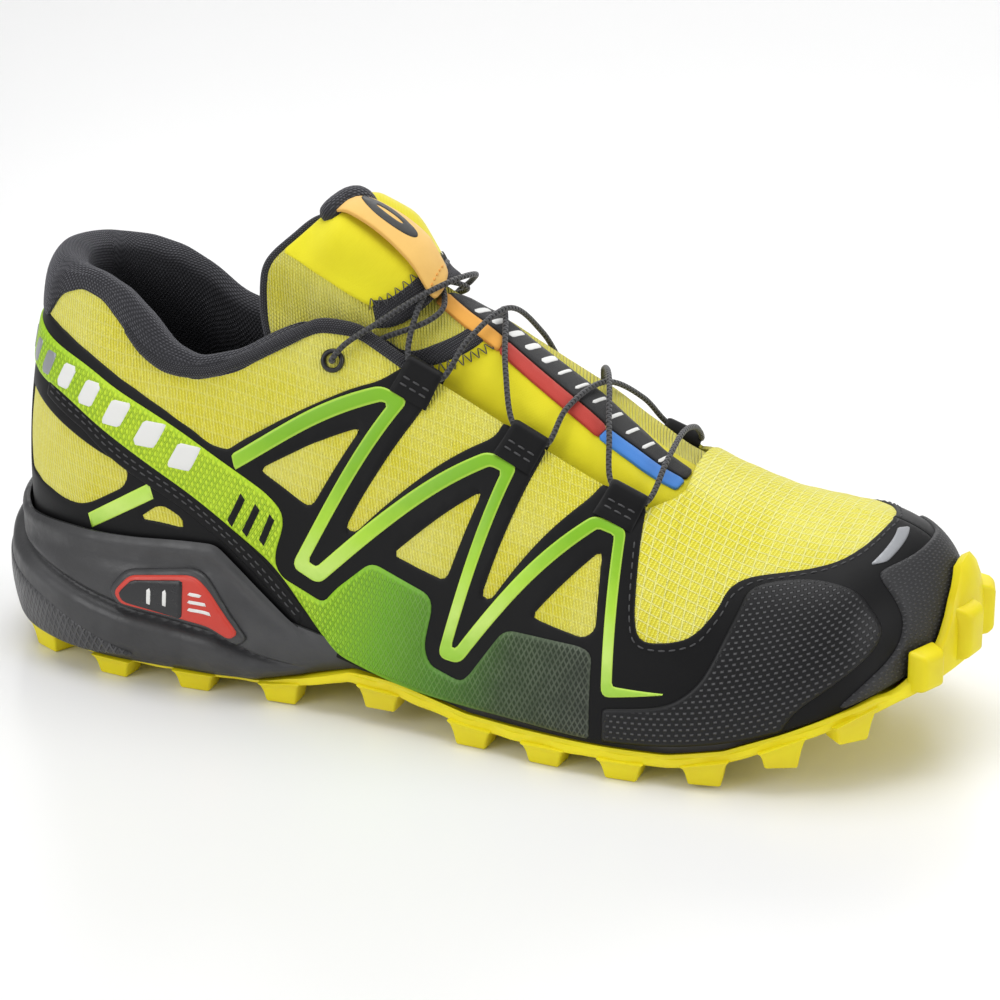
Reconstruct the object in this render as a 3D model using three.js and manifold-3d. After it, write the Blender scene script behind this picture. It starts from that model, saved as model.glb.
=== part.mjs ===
// Trail running shoe for the right foot, millimetres.
// +X runs from heel to toe, -Y is the lateral (outer) side, +Y the medial side, +Z is up.
// The origin is at the middle of the footprint, on the ground.
import * as THREE from 'three';
import Module from 'manifold-3d';

const wasm = await Module();
wasm.setup();

// ---------------------------------------------------------------- driving dimensions

const HALF = 10;                 // stations from the heel seam (0) to the toe tip (10)
const FULL = 2 * HALF;           // stations 11 to 20 come back along the medial side
const HEEL_TO_ORIGIN = 148.2;    // distance from the back of the heel to the origin
const SIDE_TO_ORIGIN = -2.5;     // the footprint's middle lies this far to the lateral side

// The last: the form that the upper is pulled over, one row a station from heel to toe.
// x, lateral y and medial y of the feather line, its height, then the top line's x, y, z.
const LAST = [
  [5, 0, 0, 34, 36, 0, 152],
  [13, -23, 22, 33, 40, 0, 152],
  [37, -36, 33, 31, 56, 0, 151],
  [72, -39, 34, 27, 80, 0, 147],
  [105, -40, 31, 18, 104, 0, 139],
  [138, -44, 32, 12, 136, 1, 122],
  [172, -50, 40, 10, 168, 2, 103],
  [206, -54, 47, 9, 202, 4, 84],
  [240, -50, 48, 13, 232, 6, 70],
  [272, -36, 39, 24, 252, 7, 66],
  [290, 5, 5, 31, 260, 7, 66],
];
// Each wall rises in one cubic arc: inward and upward shares of its two control points.
const WALL = [
  [-0.16, 0.35, 0.18, 0.90],
  [-0.14, 0.34, 0.22, 0.90],
  [-0.10, 0.30, 0.30, 0.92],
  [-0.08, 0.32, 0.32, 0.94],
  [-0.06, 0.36, 0.36, 0.98],
  [-0.05, 0.40, 0.42, 1.0],
  [-0.04, 0.44, 0.44, 1.0],
  [-0.04, 0.48, 0.45, 1.0],
  [-0.04, 0.56, 0.42, 1.0],
  [-0.10, 0.66, 0.34, 1.0],
  [-0.16, 0.70, 0.26, 1.0],
];

// Layers of the upper, as distances out from the last's surface [inner, outer].
const LINING = [-3.6, -2.9];
const STIFFENER = [-2.3, -1.5];
const TEXTILE = [-0.9, 0];
const FILM = [0.6, 1.0];
const TRIM = [1.6, 2.2];
const CUP_INNER = 2;           // the midsole's cup stands this far off the last
const BUMPER_INNER = 3.1;        // the toe bumper clears the toe cap's trim

const LUG_HEIGHT = 6;
const SKIN = 3;                  // thickness of the outsole between its lugs
const GAP = 0.3;                 // clearance between glued pieces
const BOARD = 1.2;               // lasting board
const SOCKLINER = 4;             // removable footbed

const LACE_R = 0.85;
const LOOP_LENGTH = 7.4;         // each lace loop, along the lace
const EYELET = { station: 4.2, height: 0.59, bore: 2.8, barrel: 3.3, flange: 4.7 };
const LOCK = { length: 12, width: 14, thick: 4.6, press: 1.6 };

// ---------------------------------------------------------------- interpolation

const clamp = THREE.MathUtils.clamp;
const lerp = THREE.MathUtils.lerp;
const smooth = (a, b, t) => (a < b ? THREE.MathUtils.smoothstep(t, a, b)
  : 1 - THREE.MathUtils.smoothstep(t, b, a));

// Piecewise linear value at t of a list of [t, value].
function along(points, t) {
  const next = points.findIndex(([at]) => at >= t);
  if (next === 0) return points[0][1];
  if (next < 0) return points[points.length - 1][1];
  const [t0, v0] = points[next - 1];
  const [t1, v1] = points[next];
  return lerp(v0, v1, (t - t0) / (t1 - t0));
}

// Distance of a station from the heel seam, the same on both sides.
const fold = (p) => {
  const q = ((p % FULL) + FULL) % FULL;
  return Math.min(q, FULL - q);
};

const RING = Array.from({ length: FULL }, (_, i) => {
  const j = Math.min(i, FULL - i);
  const [x, lateral, medial, base, sx, sy, sz] = LAST[j];
  return [x, i <= HALF ? lateral : medial, base, sx, sy, sz, ...WALL[j]];
});

// A row of the ring at any station, by a closed Catmull-Rom curve.
function row(p) {
  const q = ((p % FULL) + FULL) % FULL;
  const i = Math.floor(q);
  const t = q - i;
  const [a, b, c, d] = [-1, 0, 1, 2].map((k) => RING[(i + k + FULL) % FULL]);
  return b.map((_, k) => 0.5 * (2 * b[k] + (c[k] - a[k]) * t
    + (2 * a[k] - 5 * b[k] + 4 * c[k] - d[k]) * t * t
    + (3 * b[k] - a[k] - 3 * c[k] + d[k]) * t * t * t));
}

// ---------------------------------------------------------------- surfaces

// A point of the last at station p and height v, 0 at the feather line and 1 at the top line.
function lastAt(p, v) {
  const [x, y, base, sx, sy, sz, out1, up1, out2, up2] = row(p);
  const b1 = 3 * v * (1 - v) ** 2;
  const b2 = 3 * v * v * (1 - v);
  const b3 = v ** 3;
  const inward = b1 * out1 + b2 * out2 + b3;
  const up = b1 * up1 + b2 * up2 + b3;
  return new THREE.Vector3(x + (sx - x) * inward, y + (sy - y) * inward, base + (sz - base) * up);
}

function normalOf(at, p, v) {
  const dp = at(p + 0.02, v).sub(at(p - 0.02, v));
  const dv = at(p, v + 0.004).sub(at(p, v - 0.004));
  return dp.cross(dv).normalize();
}

const lastSurface = {
  at: lastAt,
  normal: (p, v) => normalOf(lastAt, p, Math.min(v, 0.99)),
};

// The instep seen from above: station p, and c across it, lateral below 0 and medial above.
const archSurface = {
  at: (p, c) => (c <= 0 ? lastAt(p, 1 + c) : lastAt(FULL - p, 1 - c)),
  normal: (p, c) => {
    const lateral = lastSurface.normal(p, 1 - Math.abs(c));
    const medial = lastSurface.normal(FULL - p, 1 - Math.abs(c));
    const share = smooth(-0.04, 0.04, c);
    return lateral.multiplyScalar(1 - share).add(medial.multiplyScalar(share)).normalize();
  },
};

const offset = (surface, p, v, n) =>
  surface.at(p, v).add(surface.normal(p, v).multiplyScalar(n));

// ---------------------------------------------------------------- solids from surfaces

// A name for a point, the same for points that differ only by rounding.
const keyOf = (q) => q.toArray().map((n) => Math.round(n * 1000 + 0.2137)).join();

// One closed geometry from triangles of points: equal points are merged, flat triangles dropped.
function closed(triangles) {
  const index = new Map();
  const positions = [];
  const find = (q) => {
    const key = keyOf(q);
    if (!index.has(key)) {
      index.set(key, positions.length / 3);
      positions.push(q.x, q.y, q.z);
    }
    return index.get(key);
  };
  const faces = triangles.map((t) => t.map(find))
    .filter(([a, b, c]) => a !== b && b !== c && c !== a);
  const geometry = new THREE.BufferGeometry();
  geometry.setAttribute('position', new THREE.Float32BufferAttribute(positions, 3));
  geometry.setIndex(faces.flat());
  return geometry;
}

// A sheet of flat triangles [station, height], laid on a surface and given its thickness.
function thicken(flat, surface, [inner, outer]) {
  const index = new Map();
  const spots = [];
  const find = ([p, v]) => {
    const at = surface.at(p, v);
    const key = keyOf(at);
    if (!index.has(key)) {
      index.set(key, spots.length);
      spots.push({ at, normal: new THREE.Vector3(), p, v });
    }
    spots[index.get(key)].normal.add(surface.normal(p, v));
    return index.get(key);
  };
  const faces = flat.map((t) => t.map(find))
    .filter(([a, b, c]) => a !== b && b !== c && c !== a);
  const depth = (d, spot) => (typeof d === 'function' ? d(spot.p, spot.v) : d);
  const shift = (d) => spots.map((spot) =>
    spot.at.clone().addScaledVector(spot.normal.clone().normalize(), depth(d, spot)));
  const low = shift(inner);
  const high = shift(outer);
  const edges = new Set(faces.flatMap(([a, b, c]) => [`${a},${b}`, `${b},${c}`, `${c},${a}`]));
  const solid = [];
  for (const [a, b, c] of faces) {
    solid.push([high[a], high[b], high[c]], [low[c], low[b], low[a]]);
    for (const [s, e] of [[a, b], [b, c], [c, a]]) {
      if (edges.has(`${e},${s}`)) continue;
      solid.push([high[e], high[s], low[s]], [high[e], low[s], low[e]]);
    }
  }
  return closed(solid);
}

const stationsFrom = (from, to, step) => {
  const count = Math.max(1, Math.round((to - from) / step));
  return Array.from({ length: count + 1 }, (_, i) => from + ((to - from) * i) / count);
};

// Flat triangles between a low and a high edge, each a number or a function of the station.
function strip(stations, low, high, rows) {
  const value = (edge, p) => (typeof edge === 'function' ? edge(p) : edge);
  const grid = stations.map((p) => Array.from({ length: rows + 1 }, (_, j) =>
    [p, lerp(value(low, p), value(high, p), j / rows)]));
  const flat = [];
  for (let i = 0; i + 1 < grid.length; i += 1) {
    for (let j = 0; j < rows; j += 1) {
      const [a, b, c, d] = [grid[i][j], grid[i + 1][j], grid[i + 1][j + 1], grid[i][j + 1]];
      flat.push([a, b, c], [a, c, d]);
    }
  }
  return flat;
}

// Millimetres that a station and a height of 1 measure on a pattern laid flat.
const FLAT_P = 33;
const FLAT_V = 100;

// Triangles between two chains of points that both climb from the lowest point to the highest.
function zipped(left, right) {
  const flat = [];
  let i = 0;
  let j = 0;
  while (i + 1 < left.length || j + 1 < right.length) {
    if (j + 1 >= right.length || (i + 1 < left.length && left[i + 1][1] < right[j + 1][1])) {
      flat.push([left[i], right[j], left[i + 1]]);
      i += 1;
    } else {
      flat.push([left[i], right[j], right[j + 1]]);
      j += 1;
    }
  }
  return flat;
}

// Widest slab of a cut-out at a station: the last turns fastest round the toe.
const SLAB_PITCH = [[0, 0.26], [1.5, 0.3], [3, 0.5], [8.2, 0.4], [9, 0.2], [HALF, 0.17]];
const slabPitch = (p) => along(SLAB_PITCH, fold(p));

// Flat triangles inside an outline, with holes: it is sliced into upright slabs at every corner,
// and each slab is filled between points at its corners and at regular heights.
function cutOut(outline, holes, rise = 0.12) {
  const loops = [outline, ...holes];
  const edges = loops.flatMap((loop) => loop.map((a, i) => [a, loop[(i + 1) % loop.length]]))
    .filter(([a, b]) => a[0] !== b[0]);
  const corners = [...new Set(loops.flat().map(([p]) => p))].sort((a, b) => a - b);
  const lines = corners.slice(1).flatMap((p, i) =>
    stationsFrom(corners[i], p, slabPitch((corners[i] + p) / 2)).slice(0, -1));
  lines.push(corners[corners.length - 1]);
  const heightAt = ([a, b], p) => {
    if (p === a[0]) return a[1];
    if (p === b[0]) return b[1];
    return lerp(a[1], b[1], (p - a[0]) / (b[0] - a[0]));
  };
  const slabs = lines.slice(1).map((p1, i) => {
    const spans = edges
      .filter(([a, b]) => Math.min(a[0], b[0]) <= lines[i] && Math.max(a[0], b[0]) >= p1)
      .map((e) => [heightAt(e, lines[i]), heightAt(e, p1)])
      .sort((a, b) => a[0] + a[1] - b[0] - b[1]);
    return spans.filter((_, k) => k % 2 === 0).map((low, k) => [low, spans[2 * k + 1]]);
  });
  const levels = (ends) => stationsFrom(0, 1, rise)
    .filter((v) => ends.every((e) => Math.abs(e - v) > rise / 4));
  const marks = lines.map((_, i) => {
    const ends = [
      ...(slabs[i - 1] ?? []).flatMap(([low, high]) => [low[1], high[1]]),
      ...(slabs[i] ?? []).flatMap(([low, high]) => [low[0], high[0]]),
    ];
    return [...new Set([...ends, ...levels(ends)])].sort((a, b) => a - b);
  });
  const upright = (i, low, high) =>
    marks[i].filter((v) => v >= low && v <= high).map((v) => [lines[i], v]);
  // The points between the ends of a slanted edge, from its lower end to its upper one.
  const slanted = (i, ends) => levels(ends)
    .filter((v) => v > Math.min(...ends) && v < Math.max(...ends))
    .map((v) => [lerp(lines[i], lines[i + 1], (v - ends[0]) / (ends[1] - ends[0])), v]);
  return slabs.flatMap((slab, i) => slab.flatMap(([low, high]) => {
    const left = upright(i, low[0], high[0]);
    const right = upright(i + 1, low[1], high[1]);
    if (low[0] > low[1]) left.unshift(right[0], ...slanted(i, low));
    else if (low[0] < low[1]) right.unshift(left[0], ...slanted(i, low));
    const [topLeft, topRight] = [left[left.length - 1], right[right.length - 1]];
    if (high[0] > high[1]) right.push(...slanted(i, high), topLeft);
    else if (high[0] < high[1]) left.push(...slanted(i, high), topRight);
    return zipped(left, right);
  }));
}

const mirrored = (outline) => outline.map(([p, v]) => [FULL - p, v]).reverse();

// The outline of a ribbon of one width along a bent line on the flat pattern.
function ribbon(line, width) {
  const flat = line.map(([p, v]) => new THREE.Vector2(p * FLAT_P, v * FLAT_V));
  const side = (sign) => flat.map((q, i) => {
    const before = flat[Math.max(i - 1, 0)];
    const after = flat[Math.min(i + 1, flat.length - 1)];
    const u = q.clone().sub(before).normalize();
    const w = after.clone().sub(q).normalize();
    if (i === 0) u.copy(w);
    if (i === flat.length - 1) w.copy(u);
    const across = new THREE.Vector2(-(u.y + w.y), u.x + w.x).normalize();
    const square = Math.max(across.dot(new THREE.Vector2(-u.y, u.x)), 0.3);
    const reach = sign * Math.min(width, width / square) / 2;
    return [(q.x + across.x * reach) / FLAT_P, (q.y + across.y * reach) / FLAT_V];
  });
  return [...side(1), ...side(-1).reverse()];
}

// Stations at which the sole pieces are cut, closer together where the edge turns.
const SOLE_HALF = [0, 0.5, 1, 1.5, 2, 2.6, 3.2, 3.6, 4, 4.3, 4.6, 5, 5.5, 6, 6.6, 7.2, 7.8, 8.3, 8.8,
  9.15, 9.4, 9.6, 9.8];
const SOLE_STATIONS = [...SOLE_HALF, HALF, ...SOLE_HALF.slice(1).reverse().map((p) => FULL - p)];

// A solid whose section at each station runs from the sole's centre line, round its edge, and back.
function ringLoft(section) {
  const grid = SOLE_STATIONS.map(section);
  const triangles = [];
  grid.forEach((line, i) => {
    const next = grid[(i + 1) % grid.length];
    for (let j = 0; j + 1 < line.length; j += 1) {
      triangles.push([line[j], next[j], next[j + 1]], [line[j], next[j + 1], line[j + 1]]);
    }
  });
  return closed(triangles);
}

// A solid with the same closed section, bent to each station and capped at both ends.
function sweep(stations, section) {
  const grid = stations.map((p) => section(p).map(([v, n]) => offset(lastSurface, p, v, n)));
  const size = grid[0].length;
  const triangles = [];
  for (let i = 0; i + 1 < grid.length; i += 1) {
    for (let j = 0; j < size; j += 1) {
      const k = (j + 1) % size;
      const [a, b, c, d] = [grid[i][j], grid[i + 1][j], grid[i + 1][k], grid[i][k]];
      triangles.push([a, b, c], [a, c, d]);
    }
  }
  for (const [p, line, turned] of [[stations[0], grid[0], true],
    [stations[stations.length - 1], grid[grid.length - 1], false]]) {
    const plan = section(p).map(([v, n]) => new THREE.Vector2(-n, v * FLAT_V));
    for (const [a, b, c] of THREE.ShapeUtils.triangulateShape(plan, [])) {
      triangles.push(turned ? [line[c], line[b], line[a]] : [line[a], line[b], line[c]]);
    }
  }
  return closed(triangles);
}

// ---------------------------------------------------------------- joins and cuts

function toManifold(geometry) {
  const plain = geometry.index ? geometry.toNonIndexed() : geometry;
  const at = plain.getAttribute('position');
  const triangles = [];
  for (let i = 0; i < at.count; i += 3) {
    triangles.push([0, 1, 2].map((k) => new THREE.Vector3().fromBufferAttribute(at, i + k)));
  }
  const merged = closed(triangles);
  return new wasm.Manifold(new wasm.Mesh({
    numProp: 3,
    vertProperties: new Float32Array(merged.getAttribute('position').array),
    triVerts: new Uint32Array(merged.index.array),
  }));
}

function toGeometry(solid) {
  const mesh = solid.getMesh();
  const geometry = new THREE.BufferGeometry();
  const positions = new Float32Array(mesh.vertProperties);
  geometry.setAttribute('position', new THREE.BufferAttribute(positions, 3));
  geometry.setIndex(new THREE.BufferAttribute(new Uint32Array(mesh.triVerts), 1));
  return geometry;
}

const joined = (geometries) => toGeometry(geometries.map(toManifold).reduce((a, b) => a.add(b)));
const cut = (geometry, tools) =>
  toGeometry(tools.map(toManifold).reduce((a, b) => a.subtract(b), toManifold(geometry)));

// ---------------------------------------------------------------- the model

const shoe = new THREE.Group();
shoe.position.set(-HEEL_TO_ORIGIN, -SIDE_TO_ORIGIN, 0);

const finishes = {
  mesh: { color: 0xe9e04a, roughness: 0.85 },
  smooth: { color: 0xe6dc2c, roughness: 0.7 },
  film: { color: 0x2f3032, roughness: 0.55 },
  green: { color: 0x9ccf2f, roughness: 0.5 },
  band: { color: 0x8fae3c, roughness: 0.6 },
  guard: { color: 0x3a3b3c, roughness: 0.7 },
  reflector: { color: 0xb9bcc0, roughness: 0.3, metalness: 0.3 },
  knit: { color: 0x26272a, roughness: 0.95 },
  foam: { color: 0xd8d6cc, roughness: 0.9 },
  board: { color: 0xd9d2b8, roughness: 0.9 },
  stiffener: { color: 0xcfcbb9, roughness: 0.8 },
  eva: { color: 0x4b4c4e, roughness: 0.8 },
  badge: { color: 0xd0463b, roughness: 0.4 },
  rubber: { color: 0xe8d52a, roughness: 0.75 },
  strap: { color: 0xf0b45a, roughness: 0.8 },
  plastic: { color: 0x1d1e20, roughness: 0.35 },
  steel: { color: 0xa8adb2, roughness: 0.3, metalness: 1 },
};
const materials = Object.fromEntries(Object.entries(finishes)
  .map(([name, finish]) => [name, new THREE.MeshStandardMaterial(finish)]));

function add(name, finish, geometry, parent = shoe) {
  const mesh = new THREE.Mesh(geometry, materials[finish]);
  mesh.name = name;
  parent.add(mesh);
  return mesh;
}

// ---------------------------------------------------------------- sole

// Height of the outsole's underside between the lugs, by the distance from the heel.
const UNDERSIDE = [[0, 9], [15, 6], [30, 5.2], [90, 5.2], [105, 7], [122, 11.5], [138, 10], [160, 6],
  [176, 5.4], [222, 5.4], [238, 8], [254, 14], [268, 20], [280, 25], [290, 29]];
const underside = (x) => along(UNDERSIDE, x);

// Where the textile starts above the feather line: it tucks under further at the heel.
const textileLow = (p) => lerp(0.005, 0.06, smooth(3, 5, fold(p)));
const footbed = (p) => lastAt(p, textileLow(p)).z - 0.6;

// The sole's centre line: its ends stand in from the heel and the toe.
function centre(p, z) {
  const q = clamp(fold(p), 1.8, 8.5);
  const lateral = lastAt(q, 0);
  const medial = lastAt(FULL - q, 0);
  return new THREE.Vector3(lateral.x, (lateral.y + medial.y) / 2, z(q));
}

// A point of the feather line moved out level, and set to a height.
function edge(p, out, z) {
  const at = lastAt(p, 0);
  const n = lastSurface.normal(p, 0).setZ(0).normalize();
  return at.addScaledVector(n, out).setZ(z);
}

const solePitch = (p) => lastAt(p, 0).x;
// How far the sole's edge stands out from the feather line.
const SOLE_OUT = [[0, 5], [2, 4.6], [3.2, 4], [4.4, 3.4], [8.6, 3.6], [9.4, 6.5], [HALF, 7.5]];
const soleOut = (p) => along(SOLE_OUT, fold(p));
// Top edge of the rubber bumper that wraps the toe.
const BUMPER_TOP = [[9.2, 0], [9.57, 0.1], [9.72, 0.28], [9.88, 0.4], [HALF, 0.41]];
const bumperTop = (p) => along(BUMPER_TOP, fold(p));
// The lugs round the edge: station and turn in radians; and the inner pairs' distances from the heel.
const EDGE_LUGS = [[1.2, 0.5], [2.2, 0.15], [2.95, 0], [3.8, 0], [4.8, 0.05], [5.7, 0.1], [6.4, 0.1],
  [7.1, 0], [7.8, -0.15], [8.4, -0.4], [8.95, -0.8]];
const INNER_LUGS = [28, 50, 72, 94, 154, 176, 198, 220, 242];
const TOE_LUGS = [9.45, 9.78, 10.22, 10.55];

function outsole() {
  const skin = ringLoft((p) => {
    const low = underside(solePitch(p));
    const top = low + SKIN;
    const rise = smooth(9.1, 9.4, fold(p));
    const v = bumperTop(p);
    const lip = (share, n) => edge(p, n, top).lerp(offset(lastSurface, p, v * share, n), rise);
    return [
      centre(p, (q) => underside(solePitch(q))),
      edge(p, soleOut(p) - 3, low),
      edge(p, soleOut(p), low + 1),
      ...[0.35, 0.7, 1].map((share) => lip(share, soleOut(p) - 0.6)),
      ...[1, 0.7, 0.35, 0].map((share) => lip(share, BUMPER_INNER)),
      centre(p, (q) => underside(solePitch(q)) + SKIN),
    ];
  });
  // A tapered block whose top follows the underside, a little way into the skin.
  const lug = (x, y, length, width, turn) => {
    const block = new THREE.BoxGeometry(length, width, 1);
    const at = block.getAttribute('position');
    for (let i = 0; i < at.count; i += 1) {
      const share = at.getZ(i) < 0 ? 0.74 : 1;
      at.setXY(i, at.getX(i) * share, at.getY(i) * share);
    }
    block.rotateZ(turn).translate(x, y, 0);
    const foot = Math.max(0, underside(x) - LUG_HEIGHT);
    for (let i = 0; i < at.count; i += 1) {
      at.setZ(i, at.getZ(i) < 0 ? foot : underside(at.getX(i)) + 1.4);
    }
    return block;
  };
  const lugs = [];
  for (const [station, turn] of EDGE_LUGS) {
    for (const side of [1, -1]) {
      const p = side > 0 ? station : FULL - station;
      const at = edge(p, soleOut(p) - 5.6, 0);
      lugs.push(lug(at.x, at.y, 13, 10, -side * turn));
    }
  }
  for (const x of INNER_LUGS) {
    const middle = x < 120 ? -1.5 : lerp(-5, 0, (x - 154) / 88);
    for (const side of [-1, 1]) lugs.push(lug(x, middle + side * 11, 9, 12, side * 0.5));
  }
  const toeLugs = TOE_LUGS.map((p) => {
    const at = offset(lastSurface, p, 0.12, soleOut(p));
    const n = lastSurface.normal(p, 0.1);
    return new THREE.BoxGeometry(5, 9, 15).rotateZ(Math.atan2(n.y, n.x)).translate(at.x, at.y, at.z);
  });
  return joined([skin, ...lugs, ...toeLugs]);
}

// The midsole's cup: its lip climbs to the heel counter and dives to the outsole at the arch.
const CUP_TOP = [[0, 0.1], [1, 0.09], [1.8, 0.12], [2.5, 0.14], [3.3, 0.17], [3.7, 0.125], [4, 0.085],
  [4.2, 0.055], [4.6, 0.042], [5, 0.047]];
const CUP_OUT = [[0, 5.2], [2, 5.2], [3.2, 4.6], [3.8, 3.4], [4.2, 2.2], [4.6, -0.25], [HALF, -0.25]];
const CUP_IN = [[0, CUP_INNER], [4.2, CUP_INNER], [4.6, -0.25], [HALF, -0.25]];
const cupTop = (p) => along(CUP_TOP, fold(p));
const cupOut = (p) => along(CUP_OUT, fold(p));
const cupIn = (p) => along(CUP_IN, fold(p));
const midsoleLow = (p) => underside(solePitch(p)) + SKIN + GAP;

// The midsole's side, t from 0 at its lower edge to 1 at the lip.
function cupAt(p, t) {
  const low = edge(p, cupOut(p) - 0.6, midsoleLow(p));
  const lip = offset(lastSurface, p, cupTop(p), Math.max(cupOut(p) - 2.6, cupIn(p)));
  const belly = 4 * t * (1 - t) * clamp(cupOut(p), 0, 3.4);
  return low.lerp(lip, t).addScaledVector(lastSurface.normal(p, 0).setZ(0).normalize(), belly);
}
const cupSurface = { at: cupAt, normal: (p, t) => normalOf(cupAt, p, clamp(t, 0.02, 0.98)) };

const midsole = () => ringLoft((p) => [
  centre(p, midsoleLow),
  ...[0, 0.25, 0.5, 0.75, 1].map((t) => cupAt(p, t)),
  offset(lastSurface, p, cupTop(p), cupIn(p)),
  edge(p, cupIn(p), footbed(p)),
  centre(p, footbed),
]);

add('outsole', 'rubber', outsole());
add('midsole', 'eva', midsole());
add('heel_crash_pad', 'eva', thicken(
  strip(stationsFrom(-2.5, 2.5, 0.5), 0.06, (p) => 0.62 - 0.085 * p * p, 3), cupSurface, [0.35, 1.3]));

const BADGE = [[2.33, 0.6], [2.47, 0.74], [3.06, 0.785], [3.48, 0.5], [3.4, 0.405], [2.4, 0.515]];
const BADGE_MIDDLE = [2.88, 0.595];
for (const [side, place] of [['lateral', (list) => list], ['medial', mirrored]]) {
  const shrunk = (share) => BADGE.map(([p, t]) =>
    [lerp(p, BADGE_MIDDLE[0], share), lerp(t, BADGE_MIDDLE[1], share)]);
  const rim = cutOut(place(BADGE), [place(shrunk(0.3))]);
  add(`badge_frame_${side}`, 'badge', thicken(rim, cupSurface, [0.35, 1.6]));
  add(`badge_plate_${side}`, 'plastic', thicken(cutOut(place(shrunk(0.36)), []), cupSurface, [0.35, 1.2]));
}

const slab = (inset, low, top, rim) => ringLoft((p) => [
  centre(p, (q) => footbed(q) + low),
  edge(p, -inset, footbed(p) + low),
  edge(p, -inset, footbed(p) + top + rim(p)),
  edge(p, -inset - 1.6, footbed(p) + top + rim(p)),
  centre(p, (q) => footbed(q) + top),
]);
add('lasting_board', 'board', slab(4.2, 0.4, 0.4 + BOARD, () => 0));
add('sockliner', 'knit', slab(5, 2, 2 + SOCKLINER, (p) => 5 * smooth(3.6, 2, fold(p))));

// ---------------------------------------------------------------- upper

// Top edge of the quarter's textile, from the heel seam to the throat's front end.
const QUARTER_TOP = [[0, 0.52], [0.96, 0.52], [1.11, 0.58], [1.47, 0.61], [1.79, 0.6], [2.1, 0.55],
  [2.32, 0.5], [2.55, 0.47], [2.75, 0.465], [3.02, 0.475], [3.38, 0.51], [3.75, 0.56], [4.03, 0.645],
  [4.4, 0.68], [4.85, 0.665], [6.9, 0.665]];
// Top of the rolled collar.
const COLLAR_TOP = [[0, 0.655], [1, 0.65], [1.6, 0.645], [2, 0.625], [2.33, 0.585], [2.59, 0.535],
  [2.85, 0.51], [3.28, 0.54], [3.58, 0.585], [3.9, 0.635]];
const quarterTop = (p) => along(QUARTER_TOP, fold(p));
const collarTop = (p) => along(COLLAR_TOP, fold(p));
const THROAT = [[6.9, 0.665], [7.1, 0.67], [7.18, 0.7], [7.28, 0.74], [7.35, 0.79], [7.37, 1]];

const eyeletAt = (side) => (side === 'lateral' ? EYELET.station : FULL - EYELET.station);
function alongNormal(geometry, p, v) {
  const up = new THREE.Vector3(0, 1, 0);
  const turn = new THREE.Quaternion().setFromUnitVectors(up, lastSurface.normal(p, v));
  return geometry.applyQuaternion(turn).translate(...lastAt(p, v).toArray());
}

const quarterStations = [...stationsFrom(0, 3, 0.33), ...stationsFrom(3.35, 6.84, 0.44)];
for (const side of ['lateral', 'medial']) {
  const stations = side === 'lateral' ? quarterStations.map((p) => Math.max(p, 0.01))
    : quarterStations.map((p) => FULL - Math.max(p, 0.01)).reverse();
  const cloth = thicken(strip(stations, textileLow, quarterTop, 6), lastSurface, TEXTILE);
  const p = eyeletAt(side);
  const punch = new THREE.CylinderGeometry(EYELET.barrel + GAP, EYELET.barrel + GAP, 8, 16);
  const hole = alongNormal(punch, p, EYELET.height);
  add(`quarter_${side}`, 'mesh', cut(cloth, [hole]));
}

const vampStations = [6.9, 7.1, 7.28, 7.35, 7.37, 7.7, 8.05, 8.4, 8.7, 8.95, 9.2, 9.4, 9.6, 9.8];
const bothSides = (stations) => [...stations, HALF, ...stations.map((p) => FULL - p).reverse()];
const throat = (p) => along(THROAT, fold(p));
add('vamp', 'mesh', thicken(
  strip(bothSides(vampStations), textileLow, throat, 7), lastSurface, TEXTILE));

const liningTop = (p) => along([[4.2, 0.5], [7.9, 0.5], [7.95, 1]], fold(p));
const liningHalf = [...stationsFrom(4.3, 7.9, 0.6), 7.95, 8.3, 8.7, 9.1, 9.4, 9.7];
const liningLow = (p) => textileLow(p) + 0.01;
add('vamp_lining', 'knit', thicken(
  strip(bothSides(liningHalf), liningLow, liningTop, 4), lastSurface, LINING));
add('heel_counter', 'stiffener', thicken(
  strip(stationsFrom(-3, 3, 0.5), 0.02, 0.4, 3), lastSurface, STIFFENER));
add('toe_puff', 'stiffener', thicken(
  strip(stationsFrom(8.9, 11.1, 0.22), 0.08, 0.5, 3), lastSurface, STIFFENER));

// The padded collar: foam inside a knit lining that rolls over the top edge.
const padding = (p, v) => 5.2 * smooth(0.2, 0.5, v) * smooth(3.9, 2.9, fold(p));
const collarStations = stationsFrom(-3.7, 3.7, 0.37);
const foamLow = (p) => 0.43 - 0.02 * Math.abs(p) / 3.4;
add('collar_foam', 'foam', thicken(
  strip(stationsFrom(-3.4, 3.4, 0.4), foamLow, (p) => collarTop(p) - 0.055, 3),
  lastSurface, [(p, v) => -2.4 - 0.62 * padding(p, v), -1.5]));
add('collar_lining', 'knit', sweep(collarStations, (p) => {
  const top = collarTop(p);
  const low = Math.min(quarterTop(p) + 0.012, top - 0.03);
  const deep = (v) => -3.8 - padding(p, v);
  return [[low, 0], [low, -0.9], [top - 0.04, -1.2], [top - 0.035, deep(top) + 0.9],
    [0.38, deep(0.38) + 0.8], [0.24, deep(0.24) + 0.7], [0.1, deep(0.1) + 0.6],
    [0.1, deep(0.1) - 0.3], [0.24, deep(0.24) - 0.2], [0.38, deep(0.38) - 0.1],
    [top - 0.05, deep(top) - 0.2], [top - 0.005, deep(top) + 0.8], [top, -1.4],
    [top - 0.012, -0.1]].reverse();
}));

// ---------------------------------------------------------------- overlays

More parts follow.
